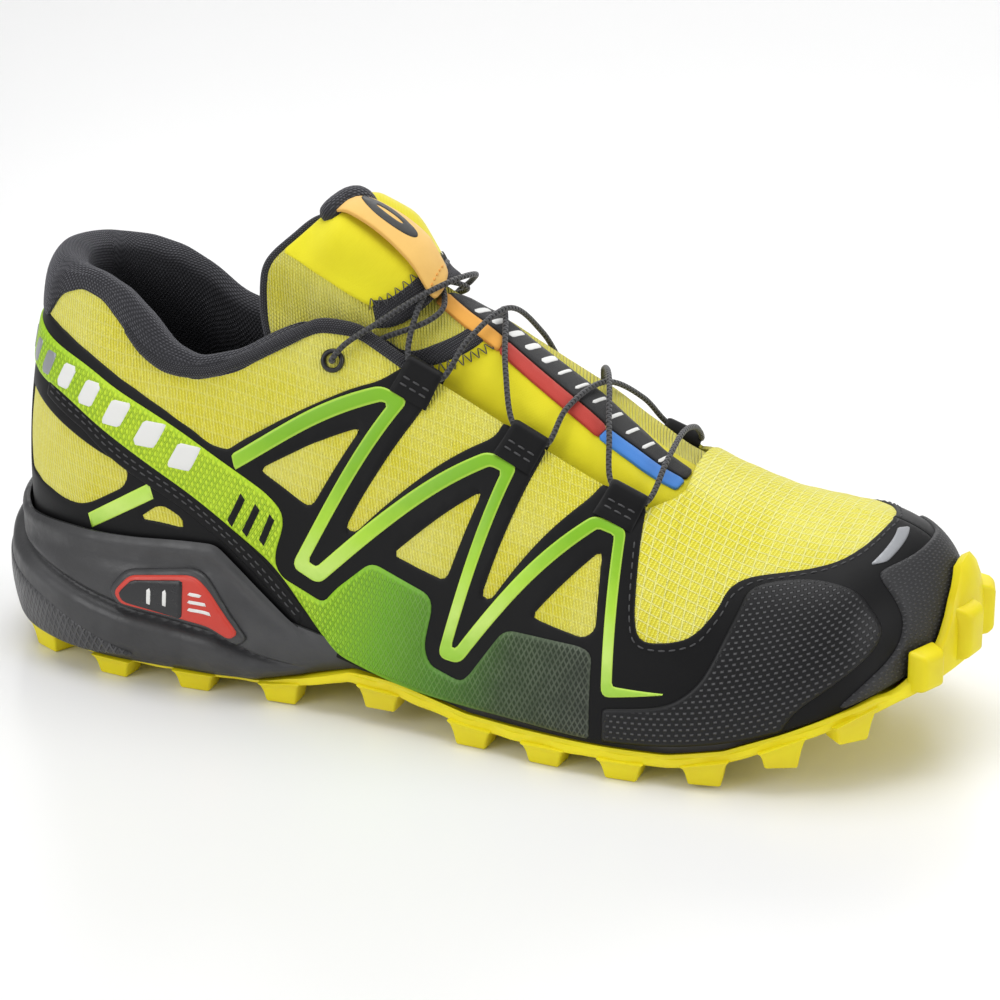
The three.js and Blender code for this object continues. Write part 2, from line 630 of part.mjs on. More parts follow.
// The welded film: a zigzag of arms from the throat to the sole, open in windows over the textile.
const FILM_EDGE = [[0.01, 0.52], [0.96, 0.515], [1.41, 0.5], [2.07, 0.46], [2.6, 0.41], [3.09, 0.36],
  [3.26, 0.36], [3.36, 0.38], [4.11, 0.5], [4.66, 0.6], [4.88, 0.655], [5.18, 0.655], [5.03, 0.57],
  [4.43, 0.29], [4.53, 0.29], [5.73, 0.62], [5.78, 0.655], [6.18, 0.655], [6.14, 0.62], [5.76, 0.27],
  [5.85, 0.27], [6.6, 0.61], [6.68, 0.655], [7.07, 0.655], [7.08, 0.56], [7.13, 0.35], [7.19, 0.3],
  [7.41, 0.31], [7.64, 0.34], [7.82, 0.44], [7.87, 0.51], [8.06, 0.57], [8.8, 0.63], [9.13, 0.68],
  [9.6, 0.78], [9.99, 0.8], [9.99, 0.04], [9.2, 0.03], [5.2, 0.02], [4.9, 0.07], [4.2, 0.075],
  [3.3, 0.05], [0.01, 0.05]];
const WINDOWS = [
  [[4.53, 0.49], [3.57, 0.34], [4.09, 0.3]],
  [[5.69, 0.49], [4.9, 0.28], [5.42, 0.27]],
  [[6.78, 0.5], [6.23, 0.27], [6.71, 0.27], [6.81, 0.3]],
  [[0.66, 0.35], [0.72, 0.22], [0.82, 0.18], [1.84, 0.16], [2.34, 0.24], [2.36, 0.28], [0.96, 0.35]],
  [[2.48, 0.18], [2.66, 0.22], [2.86, 0.2], [2.88, 0.18]],
];
// The raised zigzag line along the middle of the arms.
const ZIGZAG = [[3.32, 0.34], [4.68, 0.575], [4.84, 0.575], [4, 0.19], [4.18, 0.18], [5.71, 0.565],
  [5.9, 0.57], [5.44, 0.125], [5.57, 0.125], [6.69, 0.56], [6.9, 0.565], [6.95, 0.155], [7.44, 0.17]];
// The embossed band: from the back of the heel down to the sole at the ball of the foot.
const BAND = [[0.01, 0.49], [0.72, 0.49], [1.8, 0.455], [2.51, 0.4], [3.09, 0.345], [3.67, 0.3],
  [3.86, 0.27], [3.74, 0.18], [3.82, 0.15], [4.24, 0.13], [4.37, 0.17], [4.71, 0.25], [5.33, 0.23],
  [5.24, 0.12], [5.3, 0.085], [5.6, 0.07], [5.68, 0.09], [6, 0.22], [6.7, 0.25], [6.8, 0.24],
  [6.81, 0.03], [5.2, 0.03], [4.9, 0.08], [4.3, 0.08], [3.68, 0.17], [3.37, 0.2], [2.75, 0.27],
  [2.21, 0.33], [1.56, 0.38], [0.61, 0.4], [0.01, 0.4]];
// The rubbery guard beside the ball of the foot, and the cap over the toes.
const GUARD = [[6.92, 0.11], [7.45, 0.135], [7.65, 0.18], [7.78, 0.24], [7.99, 0.44], [8.05, 0.52],
  [8.3, 0.56], [8.67, 0.57], [9.04, 0.5], [9.2, 0.32], [9.2, 0.26], [9.1, 0.2], [8.78, 0.13],
  [8.5, 0.08], [8.4, 0.03], [6.92, 0.03]];
const TOE_CAP = [[8.8, 0.04], [8.95, 0.07], [9.29, 0.15], [9.38, 0.26], [9.34, 0.39], [9.25, 0.53],
  [9.3, 0.56], [9.61, 0.57], [HALF, 0.6]];

for (const [side, place] of [['lateral', (list) => list], ['medial', mirrored]]) {
  add(`film_${side}`, 'film', thicken(cutOut(place(FILM_EDGE), WINDOWS.map(place)), lastSurface, FILM));
  add(`zigzag_line_${side}`, 'green', thicken(cutOut(place(ribbon(ZIGZAG, 3)), []), lastSurface, TRIM));
  add(`heel_band_${side}`, 'band', thicken(cutOut(place(BAND), []), lastSurface, TRIM));
  add(`mudguard_${side}`, 'guard', thicken(cutOut(place(GUARD), []), lastSurface, TRIM));
}
add('toe_cap', 'guard', thicken(
  cutOut([...TOE_CAP, ...mirrored(TOE_CAP).slice(1)], []), lastSurface, TRIM));
const REFLECTOR = [[9.2, 0.6], [9.37, 0.59], [9.9, 0.725], [9.73, 0.755]];
add('toe_reflector', 'reflector', thicken(cutOut(REFLECTOR, []), lastSurface, TRIM));

// ---------------------------------------------------------------- tongue and lace pocket

// Across the instep, c is a share of the wall below the top line, up to the tongue's edge.
const TONGUE_EDGE = 0.43;
const POCKET = { heel: 3.94, toe: 4.78, half: 0.24, rise: 4.7, sink: 2.6 };

// Outer face of the tongue: it dives under the quarters at its sides and sinks below the lock.
function tongueFace(p, c) {
  const side = 3.9 * smooth(0.24, 0.37, Math.abs(c));
  const well = smooth(POCKET.half, 0.13, Math.abs(c)) * smooth(3.9, 4.06, p) * smooth(5.15, 4.95, p);
  const tuck = 1.4 * smooth(6.8, 7.15, p);
  return -1.3 - side - tuck - POCKET.sink * well;
}
// Inner face of the pocket's front: it swells over the lock.
function pocketFace(p, c) {
  const swell = smooth(POCKET.half - 0.01, 0.15, Math.abs(c)) * smooth(3.9, 4.06, p);
  return tongueFace(p, c) + 0.35 + (POCKET.rise + POCKET.sink + 1.35) * swell;
}
const tongueStations = [...stationsFrom(3.88, 5.2, 0.19), ...stationsFrom(5.6, 7.6, 0.4)];
const tongueLayer = (top, thick, stations = tongueStations) =>
  thicken(strip(stations, -TONGUE_EDGE, TONGUE_EDGE, 8), archSurface,
    [(p, c) => tongueFace(p, c) - top - thick, (p, c) => tongueFace(p, c) - top]);

add('tongue_face', 'mesh', tongueLayer(0, 0.6));
add('tongue_foam', 'foam', tongueLayer(0.9, 2.2, tongueStations.slice(0, -1)));
add('tongue_lining', 'knit', tongueLayer(3.5, 0.8));

const pocketStations = stationsFrom(POCKET.heel, POCKET.toe, 0.14);
// A band across the tongue or the pocket, between two heights over a face.
const patch = (stations, [left, right], columns, face, low, high) =>
  thicken(strip(stations, left, right, columns), archSurface,
    [(p, c) => face(p, c) + low, (p, c) => face(p, c) + high]);
const pocketSides = [-POCKET.half, POCKET.half];
const hemStations = [4.64, POCKET.toe - 0.02];
// The strap slants: its heel end lies on the medial side of the ridge, its toe end on the lateral side.
const STRAP = { heel: 3.9, toe: 4.88, half: 0.075, heelMiddle: 0.03, toeMiddle: -0.06, arch: 2 };
const alongStrap = (p) => clamp((p - STRAP.heel) / (STRAP.toe - STRAP.heel), 0, 1);
const strapMiddle = (p) => lerp(STRAP.heelMiddle, STRAP.toeMiddle, alongStrap(p));
const strapSides = [(p) => strapMiddle(p) - STRAP.half, (p) => strapMiddle(p) + STRAP.half];
const strapFace = (p, c) => pocketFace(p, c) + STRAP.arch * Math.sin(Math.PI * alongStrap(p));
const LABEL_SIDES = [-0.17, -0.02];
add('lace_pocket', 'smooth', patch(pocketStations, pocketSides, 10, pocketFace, 0, 0.7));
add('pocket_binding', 'knit', patch(hemStations, pocketSides, 10, pocketFace, 1, 1.6));
add('pull_strap', 'strap',
  patch(stationsFrom(STRAP.heel, STRAP.toe, 0.16), strapSides, 4, strapFace, 2.1, 3.3));
add('tongue_label', 'strap', patch(stationsFrom(5.3, 7, 0.3), LABEL_SIDES, 3, tongueFace, 0.4, 1.2));

// ---------------------------------------------------------------- lacing

// Middles of the lace loops along the throat, from the ankle to the toes.
const LOOPS = [5.04, 5.98, 6.88];
const LOOP_C = 0.288;             // how far from the top line the lace runs through the loops
const LOOP_RISE = 1.3;

// A webbing loop: a ring round the lace with a tail that is stitched down to the film.
function loopTab() {
  const ring = new THREE.Shape();
  ring.moveTo(9, 1.7);
  ring.lineTo(9, 2.5);
  ring.absarc(0, LOOP_RISE, 2.75, 0.45, 2 * Math.PI + 0.15, false);
  ring.closePath();
  const eye = new THREE.Path();
  eye.absarc(0, LOOP_RISE, 1.9, 0, 2 * Math.PI, true);
  ring.holes.push(eye);
  const options = { depth: LOOP_LENGTH, bevelEnabled: false, curveSegments: 5 };
  return new THREE.ExtrudeGeometry(ring, options).translate(0, 0, -LOOP_LENGTH / 2);
}
// A loop's frame: x down the wall, y out of it, z along the lace towards the heel or the toes.
function loopPose(sign, station) {
  const c = sign * LOOP_C;
  const at = archSurface.at(station, c);
  const out = archSurface.normal(station, c);
  const down = archSurface.at(station, c + sign * 0.01).sub(at);
  down.addScaledVector(out, -down.dot(out)).normalize();
  return new THREE.Matrix4().makeBasis(down, out, down.clone().cross(out)).setPosition(at);
}
for (const [side, sign] of [['lateral', -1], ['medial', 1]]) {
  LOOPS.forEach((station, i) =>
    add(`lace_loop_${side}_${i + 1}`, 'film', loopTab().applyMatrix4(loopPose(sign, station))));
}

// A flanged ring: its barrel passes through the textile and is rolled over behind it.
function eyelet() {
  const { bore, barrel, flange } = EYELET;
  const profile = [[bore, 1.2], [barrel, 1.6], [flange, 1.3], [flange, 0.9], [barrel, 0.9],
    [barrel, -1.8], [flange - 0.6, -1.8], [flange - 0.6, -2.2], [bore, -2.2], [bore, 1.2]];
  return new THREE.LatheGeometry(profile.map(([r, y]) => new THREE.Vector2(r, y)).reverse(), 16);
}
for (const side of ['lateral', 'medial']) {
  add(`eyelet_${side}`, 'plastic', alongNormal(eyelet(), eyeletAt(side), EYELET.height));
}

// The lock's frame: x runs up the instep towards the ankle, z stands off the tongue.
const lockAt = offset(archSurface, 4.44, 0, 0.5);
const lockUp = archSurface.at(4.15, 0).sub(archSurface.at(4.8, 0)).setY(0).normalize();
const lockOut = lockUp.clone().cross(new THREE.Vector3(0, 1, 0)).negate();
const lockSide = new THREE.Vector3().crossVectors(lockOut, lockUp);
const lockPose = new THREE.Matrix4().makeBasis(lockUp, lockSide, lockOut).setPosition(lockAt);
const STRAND_Y = 4.7;            // each strand runs this far from the lock's middle

const over = (p, c, n) => offset(archSurface, p, c, n);
// The strand through the lock, from its end tab (or back to it).
const inLock = (sign) => [9.6, 2, -6, -11, -14].map((x) =>
  new THREE.Vector3(x, sign * STRAND_Y, 0).applyMatrix4(lockPose));
// Two points on the axis of loop i, in the order heel to toe.
const inLoop = (sign, i) => [1, 0, -1]
  .map((end) => new THREE.Vector3(0, LOOP_RISE, end * (LOOP_LENGTH / 2 + 0.9)))
  .map((q) => q.applyMatrix4(loopPose(sign, LOOPS[i])))
  .sort((a, b) => a.x - b.x);
// Round the throat's edge and out through the eyelet.
const inEyelet = (sign) => [
  over(5.02, sign * 0.13, 1.2), over(5, sign * 0.215, 1), over(4.88, sign * 0.272, 0.5),
  over(4.7, sign * 0.29, -0.6), over(4.5, sign * 0.33, -2.3), over(4.3, sign * 0.385, -3.7),
  over(4.2, sign * 0.411, -3), over(4.2, sign * 0.41, 0), over(4.2, sign * 0.41, 2)];
// Across the instep between two stations, at a height over the middle.
const across = (sign, from, to, high) => [
  over(lerp(from, to, 0.16), sign * 0.2, lerp(1.6, high, 0.6)), over(lerp(from, to, 0.5), 0, high),
  over(lerp(from, to, 0.84), -sign * 0.2, lerp(1.6, high, 0.6))];
const LOW_CROSSING = 3.2;
const HIGH_CROSSING = 6;

// One lace, from its end tab through the lock, down one side of the throat and up the other.
const laceRoute = new THREE.CatmullRomCurve3([
  ...inLock(-1),
  ...inEyelet(-1),
  over(4.3, -0.37, 3.3), over(4.55, -0.29, 3.4), over(4.82, -0.18, 5), over(5.04, -0.06, 7),
  over(5.12, 0.05, 7), over(5.02, 0.17, 5), over(4.86, 0.262, 2.6),
  ...inLoop(1, 0),
  ...across(1, 5.24, 5.78, LOW_CROSSING),
  ...inLoop(-1, 1),
  ...across(-1, 6.16, 6.7, LOW_CROSSING),
  ...inLoop(1, 2),
  over(7.12, 0.16, 2.6), over(7.14, 0, 3), over(7.12, -0.16, 2.6),
  ...inLoop(-1, 2).reverse(),
  ...across(-1, 6.7, 6.16, HIGH_CROSSING),
  ...inLoop(1, 1).reverse(),
  ...across(1, 5.78, 5.24, HIGH_CROSSING),
  ...inLoop(-1, 0).reverse(),
  over(4.83, -0.255, 2.8), over(4.9, -0.16, 3.9), over(5.02, -0.03, 4.3), over(4.98, 0.08, 4.4),
  over(4.78, 0.2, 4.2), over(4.5, 0.31, 3.4), over(4.28, 0.38, 3.3),
  ...inEyelet(1).reverse(),
  ...inLock(1).reverse(),
], false, 'centripetal');
laceRoute.arcLengthDivisions = 800;
const laceSection = new THREE.Shape();
laceSection.absarc(0, 0, LACE_R, 0, 2 * Math.PI, false);
add('lace', 'knit', new THREE.ExtrudeGeometry(laceSection,
  { steps: 130, extrudePath: laceRoute, curveSegments: 3, bevelEnabled: false }));

// ---------------------------------------------------------------- lace lock

const block = (x, y, z, lx, ly, lz) => new THREE.BoxGeometry(lx, ly, lz).translate(x, y, z);
const { length, width, thick, press } = LOCK;
const CHAMBER = { width: 12.3, height: 2.9 };
const lock = new THREE.Group();
lock.applyMatrix4(lockPose);
shoe.add(lock);
const seatX = -length / 2 + 0.7;
add('lock_body', 'plastic', joined([
  cut(block(0, 0, 0, length, width, thick), [block(0, 0, 0, length + 2, CHAMBER.width, CHAMBER.height)]),
  block(seatX, 0, 0, 1.4, 3, thick - 0.4)]), lock);
// The wedge between the two strands: it is pressed towards the toes to free the lace.
const wedgeLength = 11.3;
const wedgeX = seatX + 0.7 + press + GAP + wedgeLength / 2;
const springWell = { radius: 0.95, depth: 5.5, mouth: 0.5 };
const wellX = wedgeX - wedgeLength / 2 + springWell.depth / 2;
add('lock_button', 'badge', cut(
  joined([block(wedgeX, 0, 0, wedgeLength, 6.4, CHAMBER.height - 0.6),
    block(wedgeX + wedgeLength / 2, 0, 0, 1.4, 6.4, thick - 1)]),
  [new THREE.CylinderGeometry(springWell.radius, springWell.radius, springWell.depth + springWell.mouth, 10)
    .rotateZ(Math.PI / 2).translate(wellX - springWell.mouth / 2, 0, 0)]), lock);
// The return spring, at its length with the button pressed in.
const COIL = { start: seatX + 1.1, length: 5, turns: 4, radius: 0.55, wire: 0.17 };
class Coil extends THREE.Curve {
  getPoint(t, target = new THREE.Vector3()) {
    const turn = 2 * Math.PI * COIL.turns * t;
    const x = COIL.start + COIL.length * t;
    return target.set(x, COIL.radius * Math.cos(turn), COIL.radius * Math.sin(turn));
  }
}
const wire = new THREE.Shape();
wire.absarc(0, 0, COIL.wire, 0, 2 * Math.PI, false);
add('lock_spring', 'steel', new THREE.ExtrudeGeometry(wire,
  { steps: 32, extrudePath: new Coil(), curveSegments: 2, bevelEnabled: false }), lock);
add('lace_end_tab', 'plastic', block(11.2, 0, 0, 2.8, 12.2, 3.2).applyMatrix4(lockPose));

export default shoe;
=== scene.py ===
import math

import bmesh
import bpy
import numpy as np
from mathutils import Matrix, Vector, geometry


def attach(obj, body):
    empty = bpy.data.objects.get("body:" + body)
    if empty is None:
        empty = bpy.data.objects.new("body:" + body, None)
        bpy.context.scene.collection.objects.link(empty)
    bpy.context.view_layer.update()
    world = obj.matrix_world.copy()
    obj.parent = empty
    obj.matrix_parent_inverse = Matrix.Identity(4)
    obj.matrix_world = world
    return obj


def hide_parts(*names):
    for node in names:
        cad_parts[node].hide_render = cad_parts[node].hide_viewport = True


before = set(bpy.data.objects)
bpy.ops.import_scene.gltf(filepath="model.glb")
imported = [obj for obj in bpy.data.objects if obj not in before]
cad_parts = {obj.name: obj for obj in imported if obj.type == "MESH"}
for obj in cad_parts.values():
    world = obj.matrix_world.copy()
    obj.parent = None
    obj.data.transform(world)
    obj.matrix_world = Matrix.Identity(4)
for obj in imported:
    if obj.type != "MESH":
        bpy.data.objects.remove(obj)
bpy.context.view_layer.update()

# ------------------------------------------------------------------ the last, in millimetres from the heel

HALF, FULL = 10, 20
ORIGIN = np.array([148.2, -2.5, 0.0])
MM = 0.001

# One row a station: x, lateral y, medial y and height of the feather line, then x, y, z of the top line.
LAST = [
    (5, 0, 0, 34, 36, 0, 152), (13, -23, 22, 33, 40, 0, 152), (37, -36, 33, 31, 56, 0, 151),
    (72, -39, 34, 27, 80, 0, 147), (105, -40, 31, 18, 104, 0, 139), (138, -44, 32, 12, 136, 1, 122),
    (172, -50, 40, 10, 168, 2, 103), (206, -54, 47, 9, 202, 4, 84), (240, -50, 48, 13, 232, 6, 70),
    (272, -36, 39, 24, 252, 7, 66), (290, 5, 5, 31, 260, 7, 66)]
# The wall's two middle control points at each station: how far in and how far up, as shares.
WALL = [
    (-.16, .35, .18, .90), (-.14, .34, .22, .90), (-.10, .30, .30, .92), (-.08, .32, .32, .94),
    (-.06, .36, .36, .98), (-.05, .40, .42, 1), (-.04, .44, .44, 1), (-.04, .48, .45, 1),
    (-.04, .56, .42, 1), (-.10, .66, .34, 1), (-.16, .70, .26, 1)]


def ring_row(i):
    j = min(i, FULL - i)
    x, lateral, medial, base, sx, sy, sz = LAST[j]
    return (x, lateral if i <= HALF else medial, base, sx, sy, sz, *WALL[j])


RING = np.array([ring_row(i) for i in range(FULL)], float)


def fold(p):
    """The station on the lateral side that a station of either side answers to."""
    q = np.mod(p, FULL)
    return np.minimum(q, FULL - q)


def smooth(a, b, t):
    x = np.clip((np.asarray(t, float) - a) / (b - a), 0, 1)
    return x * x * (3 - 2 * x)


def fall(a, b, t):
    return 1 - smooth(a, b, t)


def along(table, t):
    xs, ys = zip(*table)
    return np.interp(t, xs, ys)


def blend(a, b, c, d, t):
    """The smooth curve from b to c, with a before them and d after them."""
    cubic = (3 * b - a - 3 * c + d) * t ** 3
    return 0.5 * (2 * b + (c - a) * t + (2 * a - 5 * b + 4 * c - d) * t * t + cubic)


def floats(a, b):
    return np.broadcast_arrays(np.asarray(a, float), np.asarray(b, float))


def row(p):
    """The last's row at a station, between the rows given."""
    q = np.mod(p, FULL)
    i = np.floor(q).astype(int)
    t = (q - i)[..., None]
    return blend(*(RING[(i + k) % FULL] for k in (-1, 0, 1, 2)), t)


def last_at(p, v):
    """The last's surface: p goes round from the heel by the lateral side, v from the feather line to the top."""
    p, v = floats(p, v)
    x, y, base, sx, sy, sz, out1, up1, out2, up2 = np.moveaxis(row(p), -1, 0)
    b1, b2, b3 = 3 * v * (1 - v) ** 2, 3 * v * v * (1 - v), v ** 3
    inward = b1 * out1 + b2 * out2 + b3
    up = b1 * up1 + b2 * up2 + b3
    return np.stack([x + (sx - x) * inward, y + (sy - y) * inward, base + (sz - base) * up], -1)


def unit(a):
    return a / np.maximum(np.linalg.norm(a, axis=-1, keepdims=True), 1e-9)


def run_of(points):
    """How far each point is along the line through all of them."""
    return np.concatenate([[0], np.cumsum(np.linalg.norm(np.diff(points, axis=0), axis=1))])


def left_of(tangent):
    return np.stack([-tangent[:, 1], tangent[:, 0]], 1)


def normal_of(at, p, v):
    dp = at(p + 0.02, v) - at(p - 0.02, v)
    dv = at(p, v + 0.004) - at(p, v - 0.004)
    return unit(np.cross(dp, dv))


def last_normal(p, v):
    return normal_of(last_at, np.asarray(p, float), np.minimum(v, 0.99))


def arch_at(p, c):
    """The same surface over the instep; c runs across it, 0 on the ridge and below 0 on the lateral side."""
    p, c = floats(p, c)
    return last_at(np.where(c <= 0, p, FULL - p), 1 - np.abs(c))


def arch_normal(p, c):
    p, c = floats(p, c)
    share = smooth(-0.04, 0.04, c)[..., None]
    v = 1 - np.abs(c)
    return unit(last_normal(p, v) * (1 - share) + last_normal(FULL - p, v) * share)


LAST_SURFACE = (last_at, last_normal)
ARCH_SURFACE = (arch_at, arch_normal)


def over(surface, p, v, n):
    """Points that stand a height of n over a surface."""
    return surface[0](p, v) + surface[1](p, v) * np.asarray(n, float)[..., None]


# Lengths over the cloth: round the shoe at mid height, and up the wall at each station.
STEPS = np.linspace(0, FULL, 801)
ROUND = run_of(last_at(STEPS, 0.4))
CLIMB = np.linalg.norm(np.diff(last_at(STEPS[:, None], np.linspace(0, 1, 41)), axis=1), axis=2).sum(1)


def cloth_uv(p, v):
    q = np.mod(p, FULL)
    return np.interp(q, STEPS, ROUND), np.interp(q, STEPS, CLIMB) * v


# ------------------------------------------------------------------ meshes

def placed(name, data):
    """An object with this data, in the scene."""
    thing = bpy.data.objects.new(name, data)
    bpy.context.scene.collection.objects.link(thing)
    return thing


def smooth_shaded(mesh, material, sharp=None):
    mesh.polygons.foreach_set("use_smooth", [True] * len(mesh.polygons))
    if sharp:
        mesh.set_sharp_from_angle(angle=math.radians(sharp))
    mesh.materials.append(material)


def make(name, points, faces, material, uv=None, rim=None, sharp=50):
    """A mesh piece on the shoe, from points in millimetres; rim is each point's distance from its edge."""
    mesh = bpy.data.meshes.new(name)
    points = np.asarray(points, float)
    mesh.from_pydata(((points - ORIGIN) * MM).tolist(), [], [tuple(f) for f in faces])
    mesh.validate()
    index = np.zeros(len(mesh.loops), int)
    mesh.loops.foreach_get("vertex_index", index)
    if uv is not None:
        layer = mesh.uv_layers.new(name="cloth")
        layer.data.foreach_set("uv", np.asarray(uv, float)[index].ravel())
    if rim is not None:
        attribute = mesh.attributes.new("rim", "FLOAT", "POINT")
        attribute.data.foreach_set("value", np.asarray(rim, np.float32))
    smooth_shaded(mesh, material, sharp)
    piece = placed(name, mesh)
    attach(piece, "shoe")
    return piece


def finish(piece, slot, *nodes):
    if nodes:
        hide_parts(*nodes)
    return piece


def grid_faces(rows, columns, wrap_rows=False, wrap_columns=False, start=0):
    i = np.arange(rows if wrap_rows else rows - 1)
    j = np.arange(columns if wrap_columns else columns - 1)
    i, j = (a.ravel() for a in np.meshgrid(i, j, indexing="ij"))
    i2, j2 = (i + 1) % rows, (j + 1) % columns
    corners = np.stack([i * columns + j, i2 * columns + j, i2 * columns + j2, i * columns + j2], 1)
    return (corners + start).tolist()


def shell(name, outer, inner, material, uv, rim=None):
    """A closed sheet between two grids of points with the same rows and columns."""
    rows, columns = outer.shape[:2]
    count = rows * columns
    faces = grid_faces(rows, columns)
    faces += [f[::-1] for f in grid_faces(rows, columns, start=count)]
    for a in range(0, count - columns, columns):
        faces.append([a + columns, a, a + count, a + columns + count])
        b = a + columns - 1
        faces.append([b, b + columns, b + columns + count, b + count])
    for j in range(columns - 1):
        faces.append([j, j + 1, j + 1 + count, j + count])
        a = count - columns + j
        faces.append([a + 1, a, a + count, a + 1 + count])
    points = np.concatenate([outer.reshape(-1, 3), inner.reshape(-1, 3)])
    uv = np.concatenate([uv.reshape(-1, 2)] * 2)
    if rim is not None:
        rim = np.concatenate([rim.ravel()] * 2)
    return make(name, points, faces, material, uv, rim, 60)


FLAT = np.array([33.0, 100.0])      # millimetres of a station and a height on the flat pattern


def rounded(outline, radius, closed=True, step=1.4, flat=FLAT):
    """The outline on the flat pattern, with its corners turned in curves, as evenly spaced points."""
    pts = np.array(outline, float) * flat
    count = len(pts)
    out = []
    for i in range(count):
        if not closed and i in (0, count - 1):
            out.append(pts[i])
            continue
        a, b, c = pts[i - 1], pts[i], pts[(i + 1) % count]
        r = radius[i] if isinstance(radius, (list, tuple)) else radius
        r1 = min(r, np.linalg.norm(a - b) * 0.49)
        r2 = min(r, np.linalg.norm(c - b) * 0.49)
        start = b + (a - b) / np.linalg.norm(a - b) * r1
        end = b + (c - b) / np.linalg.norm(c - b) * r2
        for t in np.linspace(0, 1, 7):
            out.append(start * (1 - t) ** 2 + 2 * b * t * (1 - t) + end * t * t)
    return spaced(np.array(out), step, closed)


def spaced(pts, step, closed):
    if closed:
        pts = np.vstack([pts, pts[:1]])
    s = run_of(pts)
    count = max(4, int(round(s[-1] / step)))
    at = np.linspace(0, s[-1], count + 1)
    if closed:
        at = at[:-1]
    return np.stack([np.interp(at, s, pts[:, k]) for k in range(pts.shape[1])], 1)


def inside(points, loops):
    """Whether each point is inside the first loop and outside the holes."""
    count = np.zeros(len(points), int)
    for loop in loops:
        a, b = loop, np.roll(loop, -1, 0)
        y = points[:, 1][:, None]
        crosses = (a[:, 1] > y) != (b[:, 1] > y)
        rise = np.where(b[:, 1] == a[:, 1], 1, b[:, 1] - a[:, 1])
        x = a[:, 0] + (y - a[:, 1]) * (b[:, 0] - a[:, 0]) / rise
        count += (crosses & (points[:, 0][:, None] < x)).sum(1)
    return count % 2 == 1


def to_edge(points, loops):
    """How far each point is from the nearest loop, worked out in runs to save memory."""
    run = 4000
    best = np.full(len(points), 1e9)
    for loop in loops:
        a, b = loop, np.roll(loop, -1, 0)
        ab = b - a
        size = np.maximum((ab ** 2).sum(1), 1e-9)
        for k in range(0, len(points), run):
            q = points[k:k + run, None, :]
            t = np.clip(((q - a) * ab).sum(2) / size, 0, 1)
            d = np.linalg.norm(q - (a + ab * t[..., None]), axis=2).min(1)
            best[k:k + run] = np.minimum(best[k:k + run], d)
    return best


def panel(name, outline, surface, inner, outer, material, holes=(), radius=3.0, pitch=2.2, edge=0.5,
          flat=FLAT, raw=False):
    """A sheet with rounded edges on a surface, between two heights over it; raw outlines are finished loops."""
    loops = [outline if raw else rounded(outline, radius, flat=flat, step=1.2), *holes]
    rims = []
    for loop in loops:
        side = left_of(unit(np.roll(loop, -1, 0) - np.roll(loop, 1, 0)))
        for depth in (edge * 0.4, edge):
            for sign in (-1, 1):
                q = loop + side * depth * sign
                keep = inside(q, loops)
                keep &= to_edge(q, loops) > depth * 0.85
                rims.append(q[keep])
    low, high = loops[0].min(0), loops[0].max(0)
    xs = np.arange(low[0], high[0], pitch)
    ys = np.arange(low[1], high[1], pitch * 0.87)
    gx, gy = np.meshgrid(xs, ys)
    gx = gx + (np.arange(len(ys)) % 2)[:, None] * pitch / 2
    g = np.stack([gx.ravel(), gy.ravel()], 1)
    g = g[inside(g, loops)]
    g = g[to_edge(g, loops) > edge + pitch * 0.3]
    verts = np.vstack(loops + rims + [g])
    bounds, start = [], 0
    for loop in loops:
        n = len(loop)
        bounds += [(start + i, start + (i + 1) % n) for i in range(n)]
        start += n
    made = geometry.delaunay_2d_cdt([Vector(q) for q in verts], bounds, [], 0, 1e-5)
    flat_points = np.array([tuple(q) for q in made[0]])
    faces = np.array([f for f in made[2] if len(f) == 3])
    a, b, c = (flat_points[faces[:, k]] for k in range(3))
    area = (b - a)[:, 0] * (c - a)[:, 1] - (b - a)[:, 1] * (c - a)[:, 0]
    keep = inside((a + b + c) / 3, loops) & (np.abs(area) > 1e-6)
    faces = np.array([f[::-1] if s < 0 else f for f, s in zip(faces[keep], area[keep])])
    used, faces = np.unique(faces, return_inverse=True)
    faces = faces.reshape(-1, 3)
    flat_points = flat_points[used]
    depth = to_edge(flat_points, loops)
    p, v = flat_points[:, 0] / flat[0], flat_points[:, 1] / flat[1]
    rise = np.clip(depth / edge, 0, 1)
    share = 0.3 + 0.7 * np.sqrt(1 - (1 - rise) ** 2)
    at, n = surface[0](p, v), surface[1](p, v)
    low_n = inner(p, v) if callable(inner) else inner
    high_n = outer(p, v) if callable(outer) else outer
    top = at + n * (low_n + (high_n - low_n) * share)[:, None]
    bottom = at + n * np.broadcast_to(low_n, depth.shape)[:, None]
    count = len(used)
    edges = {(f[k], f[(k + 1) % 3]): True for f in faces for k in range(3)}
    walls = [(b, a, a + count, b + count) for a, b in edges if (b, a) not in edges]
    faces = [tuple(f) for f in faces] + [tuple(f[::-1] + count) for f in faces] + walls
    uv = np.stack(cloth_uv(p, v) if surface is LAST_SURFACE else (p * flat[0], v * flat[1]), 1)
    return make(name, np.vstack([top, bottom]), faces, material, np.vstack([uv, uv]),
                np.concatenate([depth, depth]), 60)


def ribbon(line, width, radius, flat=FLAT):
    """The loop round a ribbon along a line on the flat pattern."""
    path = rounded(line, radius, closed=False, step=1.0, flat=flat)
    side = left_of(unit(np.gradient(path, axis=0))) * (width / 2)
    return np.vstack([path + side, (path - side)[::-1]])


